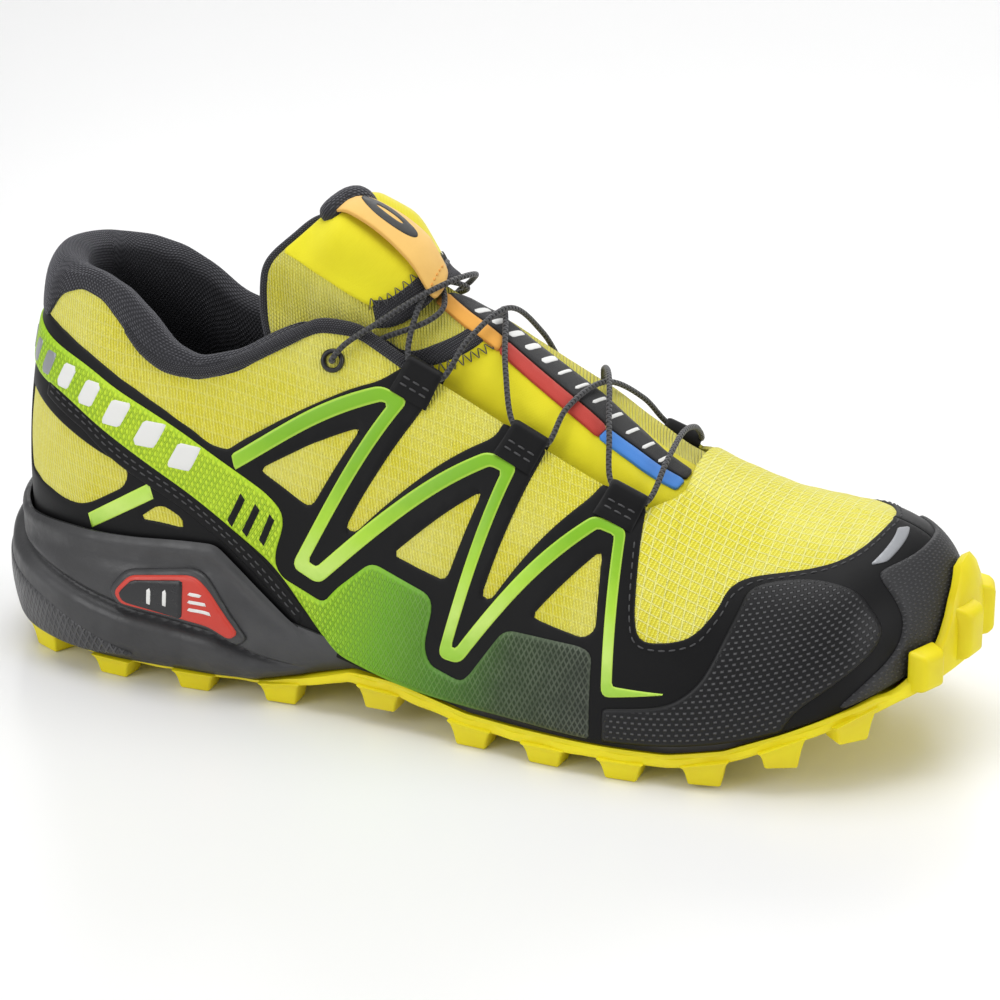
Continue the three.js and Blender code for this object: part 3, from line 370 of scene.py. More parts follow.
def mitred(line, width, outer, inner, tip):
    """The loop round a ribbon with a thin tip, whose corners are turned with an outer and an inner radius."""
    pts = np.array(line, float) * FLAT
    leg = unit(np.diff(pts, axis=0))
    leg = np.vstack([leg[:1], leg, leg[-1:]])
    left, right = [], []
    for i, at in enumerate(pts):
        a, b = leg[i], leg[i + 1]
        n = unit(np.array([-a[1] - b[1], a[0] + b[0]]))
        reach = width / 2 / max(0.35, n @ np.array([-a[1], a[0]]))
        if i == len(pts) - 1:
            reach *= tip
        turns_left = a[0] * b[1] - a[1] * b[0] > 0
        ends = i in (0, len(pts) - 1)
        left.append((at + n * reach, 0.3 if ends else inner if turns_left else outer))
        right.append((at - n * reach, 0.3 if ends else outer if turns_left else inner))
    loop = left + right[::-1]
    return rounded([q / FLAT for q, _ in loop], [r for _, r in loop], step=1.0)


def tube(name, path, radius, material, sides=12, girth=1.0):
    """A round cord along points in millimetres; its texture runs along it and, times girth, round it."""
    tangent = unit(np.gradient(path, axis=0))
    across = []
    x = unit(np.cross(tangent[0], [0, 0.31, 0.95]))
    for t in tangent:
        x = unit(x - t * (x @ t))
        across.append(x)
    x = np.array(across)
    y = np.cross(tangent, x)
    angle = np.arange(sides) * 2 * math.pi / sides
    r = np.broadcast_to(radius, (len(path),))[:, None, None]
    ring = np.cos(angle)[None, :, None] * x[:, None] + np.sin(angle)[None, :, None] * y[:, None]
    pts = (path[:, None] + ring * r).reshape(-1, 3)
    uv = np.stack(np.broadcast_arrays(run_of(path)[:, None], angle[None, :] * girth), 2)
    faces = [f[::-1] for f in grid_faces(len(path), sides, False, True)]
    faces += [list(range(sides)), list(range(len(pts) - sides, len(pts)))[::-1]]
    return make(name, pts, faces, material, uv.reshape(-1, 2))


def joined(name, pieces):
    """One object from several, which keeps each one's material."""
    bpy.ops.object.select_all(action="DESELECT")
    for piece in pieces:
        piece.select_set(True)
    bpy.context.view_layer.objects.active = pieces[0]
    bpy.ops.object.join()
    pieces[0].name = name
    pieces[0].data.name = name
    return pieces[0]


# Each kind of stitch: its length, the gap after it, its radius and how far it lies over the surface.
STITCHES = {"overlock": (3.0, 0.25, 0.2, 0.12), "strap": (1.2, 0.9, 0.3, 0.1), "tab": (1.9, 0.7, 0.32, 0.1),
            "film": (2.1, 0.9, 0.27, 0.1)}


def thread(name, lines, kind, material="thread"):
    """Rows of stitches; each line is points in millimetres with the surface's normals."""
    length, gap, radius, lift = STITCHES[kind]
    pts, faces = [], []
    sides = 6
    ring = np.arange(sides) * 2 * math.pi / sides
    # Along a stitch: how far, its thickness and how far it sinks, as shares of its length and radius.
    marks = [(0, 0.15, -1.0), (0.12, 0.8, -0.2), (0.5, 1, 0.1), (0.88, 0.8, -0.2), (1, 0.15, -1.0)]
    for points, normals in lines:
        s = run_of(points)
        count = max(1, int(s[-1] // (length + gap)))
        pitch = s[-1] / count

        def place(a, table):
            return np.stack([np.interp(a, s, table[:, k]) for k in range(3)], -1)
        for i in range(count):
            start = i * pitch + gap / 2
            size = pitch - gap
            base = len(pts)
            direction = unit(place(start + size, points) - place(start, points))
            for share, girth, sink in marks:
                a = start + share * size
                n = unit(place(a, normals))
                centre = place(a, points) + n * (lift + sink * radius)
                side = np.cross(direction, n)
                for angle in ring:
                    pts.append(centre + (side * math.cos(angle) + n * math.sin(angle)) * radius * girth)
            faces += [f[::-1] for f in grid_faces(len(marks), sides, False, True, base)]
            faces.append(list(range(base, base + sides)))
            faces.append(list(range(len(pts) - sides, len(pts)))[::-1])
    return make(name, pts, faces, MAT[material])


def mirrored(outline):
    return [(FULL - p, v) for p, v in outline][::-1]


def place_turns(side, radii):
    """The corner radii of an outline given for the lateral side, in the order of its mirrored points."""
    return radii[::-1] if side == "medial" else radii


def on_side(side, line):
    """A line given for the lateral side, on either side."""
    return mirrored(line)[::-1] if side == "medial" else line


# ------------------------------------------------------------------ materials

class Graph:
    """A material made of shader nodes, with short names for the nodes used most."""

    def __init__(self, name, colour=(0.5, 0.5, 0.5), roughness=0.5, **sockets):
        self.material = bpy.data.materials.new(name)
        self.material.use_nodes = True
        self.material.diffuse_color = (*colour, 1)
        self.nodes, self.links = self.material.node_tree.nodes, self.material.node_tree.links
        self.bsdf = self.nodes["Principled BSDF"]
        self.bsdf.inputs["Base Color"].default_value = (*colour, 1)
        self.bsdf.inputs["Roughness"].default_value = roughness
        for key, value in sockets.items():
            self.bsdf.inputs[key.replace("_", " ")].default_value = value

    def node(self, kind, inputs=(), **settings):
        node = self.nodes.new("ShaderNode" + kind)
        for key, value in settings.items():
            setattr(node, key, value)
        for key, value in dict(inputs).items():
            self.put(node.inputs[key], value)
        return node

    def put(self, socket, value):
        if isinstance(value, bpy.types.NodeSocket):
            self.links.new(value, socket)
        elif isinstance(value, tuple) and len(value) == 3 and socket.type == "RGBA":
            socket.default_value = (*value, 1)
        else:
            socket.default_value = value

    def math(self, kind, a, b=0.0, c=0.0):
        return self.node("Math", {0: a, 1: b, 2: c}, operation=kind).outputs[0]

    def times(self, a, b):
        return self.math("MULTIPLY", a, b)

    def both(self, a, b):
        return self.math("MAXIMUM", a, b)

    def cloth(self):
        """Millimetres along and up the piece."""
        uv = self.node("UVMap", uv_map="cloth").outputs[0]
        split = self.node("SeparateXYZ", {0: uv})
        return split.outputs[0], split.outputs[1]

    def rim(self):
        """Millimetres from the piece's edge."""
        return self.node("Attribute", attribute_name="rim").outputs["Fac"]

    def wave(self, x, period, phase=0.0):
        """Rises and falls between 0 and 1 once a period."""
        turn = self.math("MULTIPLY_ADD", x, 2 * math.pi / period, phase)
        return self.math("MULTIPLY_ADD", self.math("SINE", turn), 0.5, 0.5)

    def row(self, w, pitch):
        """The number of the row, of rows a pitch apart."""
        return self.math("FLOOR", self.math("DIVIDE", w, pitch))

    def line(self, x, period, share, soft=0.04):
        """1 on thin lines a period apart, and 0 between them."""
        away = self.math("PINGPONG", x, period / 2)
        return self.step(away, period * share / 2, period * (share / 2 + soft), 1, 0)

    def diamonds(self, u, w, slant, period, share, soft):
        """Lines that slant both ways and cross."""
        return self.both(*(self.line(self.math("MULTIPLY_ADD", w, way, u), period, share, soft)
                           for way in (slant, -slant)))

    def step(self, x, low, high, to_low=0.0, to_high=1.0):
        values = {0: x, 1: low, 2: high, 3: to_low, 4: to_high}
        return self.node("MapRange", values, interpolation_type="SMOOTHSTEP").outputs[0]

    def noise(self, scale, detail=2.0):
        place = self.node("TexCoord").outputs["Object"]
        return self.node("TexNoise", {"Vector": place, "Scale": scale, "Detail": detail}).outputs[0]

    def mix(self, factor, a, b):
        node = self.node("Mix", data_type="RGBA")
        self.put(node.inputs[0], factor)
        self.put(node.inputs[6], a)
        self.put(node.inputs[7], b)
        return node.outputs[2]

    def ramp(self, x, stops):
        node = self.node("ValToRGB", {0: x})
        elements = node.color_ramp.elements
        while len(elements) < len(stops):
            elements.new(0.5)
        for element, (at, colour) in zip(elements, stops):
            element.position = at
            element.color = (*colour, 1)
        return node.outputs[0]

    def colour(self, socket):
        self.put(self.bsdf.inputs["Base Color"], socket)

    def rough(self, socket):
        self.put(self.bsdf.inputs["Roughness"], socket)

    def bump(self, height, distance, strength=1.0):
        """Relief in millimetres; a second call adds to the first."""
        normal = self.bsdf.inputs["Normal"]
        before = normal.links[0].from_socket if normal.links else None
        node = self.node("Bump", {"Height": height, "Distance": distance * MM, "Strength": strength})
        if before:
            self.links.new(before, node.inputs["Normal"])
        self.links.new(node.outputs[0], normal)
        return self


# YELLOW_IN_SHADE is the yellow with painted shade, for the hollows of the weave.
YELLOW, YELLOW_PALE, YELLOW_IN_SHADE = (0.94, 0.90, 0.10), (0.96, 0.95, 0.36), (0.69, 0.60, 0.010)


def mesh_cloth(name, grid, ribs):
    """Yellow cloth with painted shade in the hollows of its weave; grid is how strongly the ripstop threads
    show, ribs how strongly the knit does.
    """
    g = Graph(name, YELLOW, 0.75, Sheen_Weight=0.25, Sheen_Roughness=0.5, Specular_IOR_Level=0.3)
    u, w = g.cloth()
    warp = g.noise(60, 2)
    u = g.math("MULTIPLY_ADD", warp, 0.5, u)
    w = g.math("MULTIPLY_ADD", warp, 0.4, w)
    slant = g.math("MULTIPLY_ADD", w, 0.28, u)
    rib = g.wave(slant, 1.02)
    tick = g.wave(g.math("MULTIPLY_ADD", u, 0.3, w), 0.78)
    weave = g.times(rib, g.math("MULTIPLY_ADD", tick, 0.45, 0.55))
    lines = g.both(g.line(u, 3.15, 0.12), g.line(w, 3.0, 0.12))
    patchy = g.noise(35, 3)
    # Painted shade and highlight: the weave's hollows take the shaded yellow and its ribs the full yellow.
    ground = g.mix(weave, YELLOW_IN_SHADE, YELLOW)
    ground = g.mix(g.step(patchy, 0.35, 0.75, 0, 0.28), ground, YELLOW_PALE)
    g.colour(g.mix(g.times(lines, grid), ground, YELLOW_PALE))
    height = g.math("ADD", g.times(weave, ribs), g.times(lines, grid))
    return g.bump(height, 0.42, 1.0).material


def plain_cloth(name, colour, deep, pitch=0.5, depth=0.12):
    """Smooth stretch fabric with a very fine rib."""
    g = Graph(name, colour, 0.62, Sheen_Weight=0.35, Sheen_Roughness=0.4, Specular_IOR_Level=0.35)
    u, w = g.cloth()
    rib = g.wave(g.math("MULTIPLY_ADD", w, 0.9, u), pitch)
    shade = g.noise(28, 2)
    ground = g.mix(g.step(shade, 0.3, 0.75), deep, colour)
    # Painted highlight: the rib's crests are painted paler than the ground.
    g.colour(g.mix(g.times(rib, 0.25), ground, tuple(min(1, c * 1.25 + 0.02) for c in colour)))
    return g.bump(rib, depth, 0.7).material


def knit(name, colour, light, across=1.25, up=0.9):
    """Spacer knit: rows of small raised cells, each row shifted by half a cell."""
    g = Graph(name, colour, 0.82, Sheen_Weight=0.5, Sheen_Roughness=0.45, Specular_IOR_Level=0.25)
    g.bsdf.inputs["Sheen Tint"].default_value = (0.5, 0.5, 0.55, 1)
    u, w = g.cloth()
    shift = g.times(g.row(w, up), across / 2)
    cell = g.times(g.wave(g.math("ADD", u, shift), across), g.wave(w, up, -math.pi / 2))
    fuzz = g.noise(900, 2)
    # Painted highlight: the raised cells are painted towards the paler colour, with random fuzz as well.
    g.colour(g.mix(g.math("MULTIPLY_ADD", fuzz, 0.3, g.times(cell, 0.9)), colour, light))
    return g.bump(cell, 0.45, 1.0).bump(fuzz, 0.1, 0.5).material


def film(name):
    """Welded film: satin, very finely grained, and a little paler along its edge, where a highlight is painted.
    """
    colour, light = (0.0055, 0.0055, 0.006), (0.021, 0.021, 0.022)
    g = Graph(name, colour, 0.47, Specular_IOR_Level=0.16)
    grain = g.noise(1500, 3)
    wide = g.noise(40, 3)
    # Painted highlight: paler within half a millimetre of the edge, where the film rounds over.
    edge = g.step(g.rim(), 0.05, 0.55, 1, 0)
    g.colour(g.mix(g.math("MULTIPLY_ADD", edge, 0.55, g.times(wide, 0.25)), colour, light))
    g.rough(g.step(wide, 0.3, 0.7, 0.42, 0.56))
    return g.bump(grain, 0.05, 0.5).material


def green_line(name):
    """The zigzag: lime at its lower bends, deeper green at its peaks, with a paler rim that is a painted
    highlight.
    """
    g = Graph(name, (0.4, 0.7, 0.02), 0.42, Specular_IOR_Level=0.5)
    w = g.cloth()[1]
    grain = g.noise(260, 3)
    height = g.math("MULTIPLY_ADD", grain, 7.0, w)
    body = g.ramp(g.step(height, 12, 64), [
        (0.0, (0.30, 0.60, 0.02)), (0.25, (0.58, 0.82, 0.16)), (0.6, (0.42, 0.72, 0.035)),
        (1.0, (0.20, 0.47, 0.005))])
    # Painted highlight along the line's rounded rim.
    rim = g.step(g.rim(), 0.15, 0.6, 1, 0)
    g.colour(g.mix(g.times(rim, 0.55), body, (0.62, 0.88, 0.10)))
    return g.bump(grain, 0.03, 0.4).material


# Along the band: where, the colour of its ground and that of its grooves; the grooves' colour is painted shade
# along the lime and green part and painted highlight along the dark part.
BAND_COLOURS = [
    (0.0, (0.42, 0.70, 0.02), (0.26, 0.48, 0.01)), (0.08, (0.58, 0.80, 0.02), (0.34, 0.56, 0.01)),
    (0.44, (0.56, 0.79, 0.03), (0.32, 0.55, 0.012)), (0.56, (0.36, 0.66, 0.02), (0.18, 0.42, 0.01)),
    (0.66, (0.17, 0.45, 0.012), (0.22, 0.48, 0.05)), (0.78, (0.07, 0.22, 0.012), (0.15, 0.33, 0.06)),
    (0.89, (0.026, 0.055, 0.014), (0.12, 0.17, 0.09)), (1.0, (0.014, 0.016, 0.014), (0.11, 0.12, 0.10))]


def emboss(name, start, end):
    """Film embossed in small diamonds, whose colours change along the shoe from start to end."""
    pitch = 1.75
    g = Graph(name, BAND_COLOURS[0][1], 0.5, Specular_IOR_Level=0.4)
    u, w = g.cloth()
    groove = g.diamonds(u, w, 0.62, pitch, 0.18, 0.14)
    along_shoe = g.step(g.math("MULTIPLY_ADD", w, -0.25 if end > start else 0.25, u), start, end)
    ground = g.ramp(along_shoe, [(at, colour) for at, colour, _ in BAND_COLOURS])
    # The grooves' colour is painted light: shade on the lime and green part, highlight on the dark part.
    groove_shade_and_highlight = g.ramp(along_shoe, [(at, colour) for at, _, colour in BAND_COLOURS])
    # Noise makes the grooves' painted shade and highlight patchy.
    patchy_groove_light = g.noise(220, 3)
    shown = g.times(groove, g.step(patchy_groove_light, 0.3, 0.65, 0.55, 1.0))
    # The band's rounded edge also takes the grooves' painted shade or highlight.
    rim = g.step(g.rim(), 0.3, 0.9, 0.7, 0)
    g.colour(g.mix(g.both(g.times(shown, 0.8), g.times(rim, 0.5)), ground, groove_shade_and_highlight))
    edge = g.step(g.rim(), 0.5, 1.4)
    return g.bump(g.times(groove, edge), 0.5, 1.0).material


def guard(name):
    """Rubbery film with rows of short raised dashes."""
    g = Graph(name, (0.008, 0.008, 0.009), 0.42, Specular_IOR_Level=0.3)
    u, w = g.cloth()
    across, up = 2.1, 1.55
    shift = g.times(g.row(w, up), across / 2)
    dash = g.times(g.step(g.wave(g.math("ADD", u, shift), across), 0.30, 0.75),
                   g.step(g.wave(w, up, -math.pi / 2), 0.45, 0.85))
    dash = g.times(dash, g.step(g.rim(), 0.8, 2.0))
    # Painted highlight: the raised dashes are painted paler than the film.
    g.colour(g.mix(g.times(dash, 0.8), (0.008, 0.008, 0.009), (0.12, 0.12, 0.125)))
    return g.bump(dash, 0.9, 1.0).material


def stipple(name):
    """Dark rubber covered in small ticks."""
    g = Graph(name, (0.03, 0.03, 0.032), 0.5, Specular_IOR_Level=0.35)
    u, w = g.cloth()
    pitch = 1.2
    row = g.row(w, pitch)
    slide = g.math("MULTIPLY_ADD", row, 0.83, g.times(g.math("PINGPONG", row, 1.0), 0.4))
    tick = g.times(g.step(g.wave(g.math("ADD", g.math("MULTIPLY_ADD", w, 0.8, u), slide), 1.9), 0.4, 0.8),
                   g.step(g.wave(w, pitch, -math.pi / 2), 0.4, 0.85))
    grain = g.noise(800, 3)
    # Painted highlight: the raised ticks are painted paler than the rubber.
    g.colour(g.mix(g.times(tick, 0.5), (0.028, 0.028, 0.030), (0.10, 0.10, 0.105)))
    return g.bump(tick, 0.35, 0.9).bump(grain, 0.05, 0.5).material


def eva(name, hatch=False):
    """Moulded foam, dull, with a fine skin."""
    g = Graph(name, (0.03, 0.03, 0.032), 0.45, Specular_IOR_Level=0.55)
    pores = g.noise(420, 5)
    wide = g.noise(30, 3)
    skin = g.noise(130, 4)
    ground = g.mix(g.step(wide, 0.3, 0.7), (0.028, 0.028, 0.030), (0.056, 0.056, 0.059))
    if hatch:
        u, w = g.cloth()
        cell = g.diamonds(u, w, 0.55, 2.3, 0.2, 0.16)
        # Painted highlight: the hatch's raised lines are painted paler than the foam.
        ground = g.mix(g.times(cell, 0.4), ground, (0.10, 0.10, 0.105))
        g.bump(cell, 0.5, 1.0)
    g.colour(ground)
    g.rough(g.step(skin, 0.3, 0.7, 0.34, 0.54))
    return g.bump(pores, 0.18, 0.7).bump(skin, 0.35, 0.6).material


def rubber(name, colour, deep):
    """Moulded outsole rubber with a soft bloom and darker patches."""
    g = Graph(name, colour, 0.46, Specular_IOR_Level=0.42, Subsurface_Weight=0.06, Subsurface_Scale=0.002)
    wide = g.noise(45, 4)
    grain = g.noise(700, 3)
    g.colour(g.mix(g.step(wide, 0.3, 0.7), deep, colour))
    g.rough(g.step(wide, 0.3, 0.7, 0.40, 0.56))
    return g.bump(grain, 0.06, 0.5).material


def braid(name, colour, light, pitch=1.5):
    """Braided cord: strands that cross in both directions round it."""
    g = Graph(name, colour, 0.55, Sheen_Weight=0.3, Specular_IOR_Level=0.35)
    u, turn = g.cloth()
    a = g.wave(g.math("MULTIPLY_ADD", turn, pitch / math.pi, u), pitch)
    b = g.wave(g.math("MULTIPLY_ADD", turn, -pitch / math.pi, u), pitch)
    strand = g.both(a, b)
    # Painted highlight: the strands' crests are painted in the paler colour.
    g.colour(g.mix(g.times(g.step(strand, 0.5, 1.0), 0.8), colour, light))
    return g.bump(strand, 0.3, 1.0).material


def plastic(name, colour, rough=0.32):
    g = Graph(name, colour, rough, Specular_IOR_Level=0.5)
    grain = g.noise(500, 3)
    g.rough(g.step(grain, 0.2, 0.8, rough - 0.05, rough + 0.08))
    return g.bump(grain, 0.02, 0.4).material


def suede(name, colour, deep):
    """Soft synthetic leather with a darker cut edge."""
    g = Graph(name, colour, 0.68, Sheen_Weight=0.3, Specular_IOR_Level=0.3)
    nap = g.noise(900, 4)
    wide = g.noise(50, 3)
    ground = g.mix(g.step(wide, 0.3, 0.75, 0, 0.5), colour, deep)
    ground = g.mix(g.times(nap, 0.25), ground, tuple(min(1, c * 1.15) for c in colour))
    g.colour(g.mix(g.step(g.rim(), 0.1, 0.7, 0.75, 0), ground, deep))
    return g.bump(nap, 0.08, 0.6).material


def simple(name, colour, rough=0.8, scale=300, relief=0.1, metal=0.0):
    """A quiet finish with a fine grain, for the parts under the upper."""
    g = Graph(name, colour, rough, Metallic=metal)
    grain = g.noise(scale, 3)
    g.colour(g.mix(g.times(grain, 0.4), colour, tuple(c * 0.7 for c in colour)))
    return g.bump(grain, relief, 0.5).material


def label_cloth(name, colour, deep):
    return plain_cloth(name, colour, deep, 0.45, 0.06)


BAND_END = 232                      # how far along the cloth the band's last colour lies

MAT = {
    "quarter": mesh_cloth("yellow_knit_mesh", 0.2, 1.0),
    "vamp": mesh_cloth("yellow_ripstop_mesh", 0.55, 0.7),
    "stretch": plain_cloth("yellow_stretch", (0.86, 0.77, 0.006), (0.74, 0.63, 0.004)),
    "rib": mesh_cloth("yellow_rib_knit", 0.1, 1.9),
    "knit": knit("black_spacer_knit", (0.016, 0.016, 0.019), (0.062, 0.062, 0.07)),
    "binding": knit("black_binding", (0.013, 0.013, 0.015), (0.05, 0.05, 0.055), 0.8, 0.6),
    "film": film("black_film"),
    "green": green_line("green_line"),
    "band_lateral": emboss("embossed_green_band", 0, BAND_END),
    "band_medial": emboss("embossed_green_band_medial", ROUND[-1], ROUND[-1] - BAND_END),
    "guard": guard("guard_dashes"),
    "cap": stipple("toe_cap_stipple"),
    "eva": eva("midsole_foam"),
    "pad": eva("crash_pad_foam", True),
    "rubber": rubber("outsole_rubber", (0.90, 0.78, 0.008), (0.80, 0.66, 0.006)),
    "lace": braid("lace_braid", (0.012, 0.012, 0.013), (0.065, 0.065, 0.07)),
    "thread": simple("black_thread", (0.055, 0.055, 0.058), 0.6, 900, 0.08),
    "thread_orange": simple("orange_thread", (0.80, 0.36, 0.06), 0.6, 900, 0.08),
    "strap": suede("orange_suede", (0.84, 0.52, 0.14), (0.66, 0.36, 0.07)),
    "strap_mark": plastic("strap_print", (0.02, 0.02, 0.02), 0.45),
    "red": plastic("badge_red", (0.60, 0.045, 0.028), 0.38),
    "black": plastic("black_plastic", (0.012, 0.012, 0.014), 0.3),
    "white": plastic("white_print", (0.80, 0.80, 0.78), 0.45),
    "silver": simple("reflective_silver", (0.33, 0.34, 0.36), 0.35, 1600, 0.03, 0.35),
    "label_black": label_cloth("label_black", (0.016, 0.016, 0.017), (0.012, 0.012, 0.013)),
    "label_red": label_cloth("label_red", (0.52, 0.045, 0.03), (0.42, 0.035, 0.025)),
    "label_blue": label_cloth("label_blue", (0.06, 0.25, 0.70), (0.05, 0.20, 0.60)),
    "label_orange": suede("label_orange", (0.88, 0.42, 0.06), (0.70, 0.30, 0.04)),
    "foam": simple("padding_foam", (0.72, 0.70, 0.62), 0.9, 500, 0.2),
    "board": simple("board_fibre", (0.62, 0.55, 0.38), 0.85, 200, 0.1),
    "stiffener": simple("stiffener_sheet", (0.60, 0.56, 0.46), 0.7, 200, 0.1),
    "lining": knit("lining_knit", (0.016, 0.016, 0.018), (0.05, 0.05, 0.055), 1.0, 0.8),
    "sock": knit("sockliner_knit", (0.022, 0.022, 0.024), (0.07, 0.07, 0.075), 0.9, 0.7),
    "steel": simple("spring_steel", (0.62, 0.64, 0.66), 0.3, 900, 0.02, 1.0),
}

# The CAD pieces that stay as they are take finished materials.
KEPT = {
    "lasting_board": "board", "vamp_lining": "lining", "heel_counter": "stiffener", "toe_puff": "stiffener",
    "lock_body": "black", "lock_button": "red", "lock_spring": "steel", "lace_end_tab": "black"}
for node, material in KEPT.items():
    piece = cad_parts[node]
    piece.data.materials.clear()
    piece.data.materials.append(MAT[material])


# ------------------------------------------------------------------ camera, light and floor

TARGET = Vector((np.array([152.7, 0, 57]) - ORIGIN) * MM)
AZIMUTH, ELEVATION, DISTANCE, LENS = math.radians(20), math.radians(22), 1.1, 133.5
back = Vector((math.sin(AZIMUTH) * math.cos(ELEVATION), -math.cos(AZIMUTH) * math.cos(ELEVATION),
               math.sin(ELEVATION)))
camera_data = bpy.data.cameras.new("camera")
camera_data.lens = LENS
camera = placed("camera", camera_data)
camera.location = TARGET + back * DISTANCE
camera.rotation_euler = (-back).to_track_quat("-Z", "Y").to_euler()
bpy.context.scene.camera = camera


def softbox(name, place, size, power):
    data = bpy.data.lights.new(name, "AREA")
    data.shape, data.size, data.size_y = "RECTANGLE", *size
    data.energy = power
    lamp = placed(name, data)
    lamp.location = TARGET + Vector(place)
    lamp.rotation_euler = (TARGET - lamp.location).to_track_quat("-Z", "Y").to_euler()


softbox("overhead", (-0.05, 0.1, 1.1), (1.1, 0.9), 9)
softbox("front_left", (-0.75, -1.0, 0.55), (0.8, 0.8), 5.5)
softbox("toe_side", (1.2, -0.25, 0.45), (0.5, 0.8), 3.5)
softbox("behind", (-0.2, 1.2, 0.6), (1.2, 0.6), 4)

world = bpy.data.worlds.new("studio")
world.use_nodes = True
world.node_tree.nodes["Background"].inputs[0].default_value = (1, 1, 1, 1)
world.node_tree.nodes["Background"].inputs[1].default_value = 0.45
bpy.context.scene.world = world
bpy.context.scene.view_settings.view_transform = "Standard"

# The floor's paper turns up behind the shoe.
floor_mesh = bpy.data.meshes.new("floor")
SIZE, SWEEP, WALL_UP = 2.4, 0.5, 1.6
profile = [(-SIZE, 0), (SIZE / 2, 0)]
profile += [(SIZE / 2 + SWEEP * math.sin(a), SWEEP * (1 - math.cos(a)))
            for a in np.linspace(0.1, math.pi / 2, 12)]
profile.append((SIZE / 2 + SWEEP, WALL_UP))
floor_mesh.from_pydata([(x, y, z) for y, z in profile for x in (-2 * SIZE, 2 * SIZE)], [],
                       [(2 * i, 2 * i + 1, 2 * i + 3, 2 * i + 2) for i in range(len(profile) - 1)])
paper = Graph("studio_paper", (0.86, 0.86, 0.86), 0.32, Specular_IOR_Level=0.35)
paper.colour(paper.mix(paper.noise(3, 2), (0.85, 0.85, 0.85), (0.875, 0.875, 0.875)))
smooth_shaded(floor_mesh, paper.material)
floor = placed("floor", floor_mesh)

# ------------------------------------------------------------------ upper textile

# The height of each line on the last, by station.
QUARTER_TOP = [
    (0, .52), (.96, .52), (1.11, .58), (1.47, .61), (1.79, .6), (2.1, .56), (2.32, .518), (2.55, .492),
    (2.75, .488), (3.02, .5), (3.38, .543), (3.75, .602), (4.03, .652), (4.4, .68), (4.85, .665),
    (6.9, .665)]
COLLAR_TOP = [
    (0, .655), (1, .65), (1.6, .645), (2, .625), (2.33, .585), (2.59, .535), (2.85, .518), (3.28, .555),
    (3.58, .605), (3.9, .65)]
THROAT = [(6.9, .665), (7.1, .67), (7.18, .7), (7.28, .74), (7.35, .79), (7.37, 1)]
CLOTH = 0.38                        # the textile's outer face, over the last


def eased(table, width=0.16):
    """The table's line with its corners worn round over a width."""
    pitch = 0.02
    xs = np.arange(table[0][0], table[-1][0] + pitch / 2, pitch)
    ys = along(table, xs)
    reach = int(width / pitch)
    pad = np.concatenate([np.full(reach, ys[0]), ys, np.full(reach, ys[-1])])
    kernel = np.hanning(2 * reach + 1)
    return list(zip(xs, np.convolve(pad, kernel / kernel.sum(), "valid")))


QUARTER_TOP, COLLAR_TOP = eased(QUARTER_TOP), eased(COLLAR_TOP)


def textile_low(p):
    return 0.005 + 0.06 * smooth(2.6, 3.8, fold(p))


def ripple(p, v):
    """Slight unevenness of the cloth, alike on both sides so that they meet along the ridge."""
    p = fold(p)
    return 0.22 * np.sin(p * 7.3 + v * 9) * np.sin(v * 17 - p * 3.1) + 0.12 * np.sin(p * 19.7 - v * 23)


def cloth_piece(name, stations, top, rows, material, over_ridge=False):
    """Cloth a millimetre thick from the feather line up to a line; it can meet itself along the ridge."""
    low, high = textile_low(stations)[:, None], along(top, fold(stations))[:, None]
    p = np.repeat(stations[:, None], rows, 1)
    v = low + (high - low) * np.linspace(0, 1, rows)[None]
    outer = over(LAST_SURFACE, p, v, CLOTH + ripple(p, v) * 0.6)
    inner = over(LAST_SURFACE, p, v, np.full(p.shape, CLOTH - 1.0))
    if not over_ridge:
        return shell(name, outer, inner, material, np.stack(cloth_uv(p, v), -1))
    ridge = high[:, 0] > 0.999      # the two halves share their points along the ridge
    for face in (outer, inner):
        face[ridge, -1] = ((face[:, -1] + face[::-1, -1]) / 2)[ridge]
    return shell(name, outer, inner, material, ahead_uv(p, v, outer))


def ahead_uv(p, v, at):
    """Cloth lengths for the forefoot: along the shoe, and across it from its ridge."""
    across = np.interp(np.mod(p, FULL), STEPS, CLIMB) * (1 - v)
    tip = smooth(9.0, 9.8, fold(p))
    across = across * (1 - tip) + np.abs(at[..., 1] - last_at(HALF, 1)[1]) * tip
    return np.stack([at[..., 0], np.where(np.mod(p, FULL) > HALF, -across, across)], -1)


stations = np.linspace(0.001, 6.9, 190)
for side, line in (("lateral", stations), ("medial", FULL - stations[::-1])):
    finish(cloth_piece("quarter_cloth_" + side, line, QUARTER_TOP, 64, MAT["quarter"]),
           "yellow_mesh", "quarter_" + side)
stations = np.concatenate([np.linspace(6.88, 7.45, 40), np.linspace(7.47, 9.9, 90)])
stations = np.concatenate([stations, [HALF], FULL - stations[::-1]])
finish(cloth_piece("vamp_cloth", stations, THROAT, 84, MAT["vamp"], over_ridge=True), "yellow_mesh", "vamp")

# ------------------------------------------------------------------ overlays

FILM_LOW, FILM_HIGH = CLOTH - 0.15, 0.95
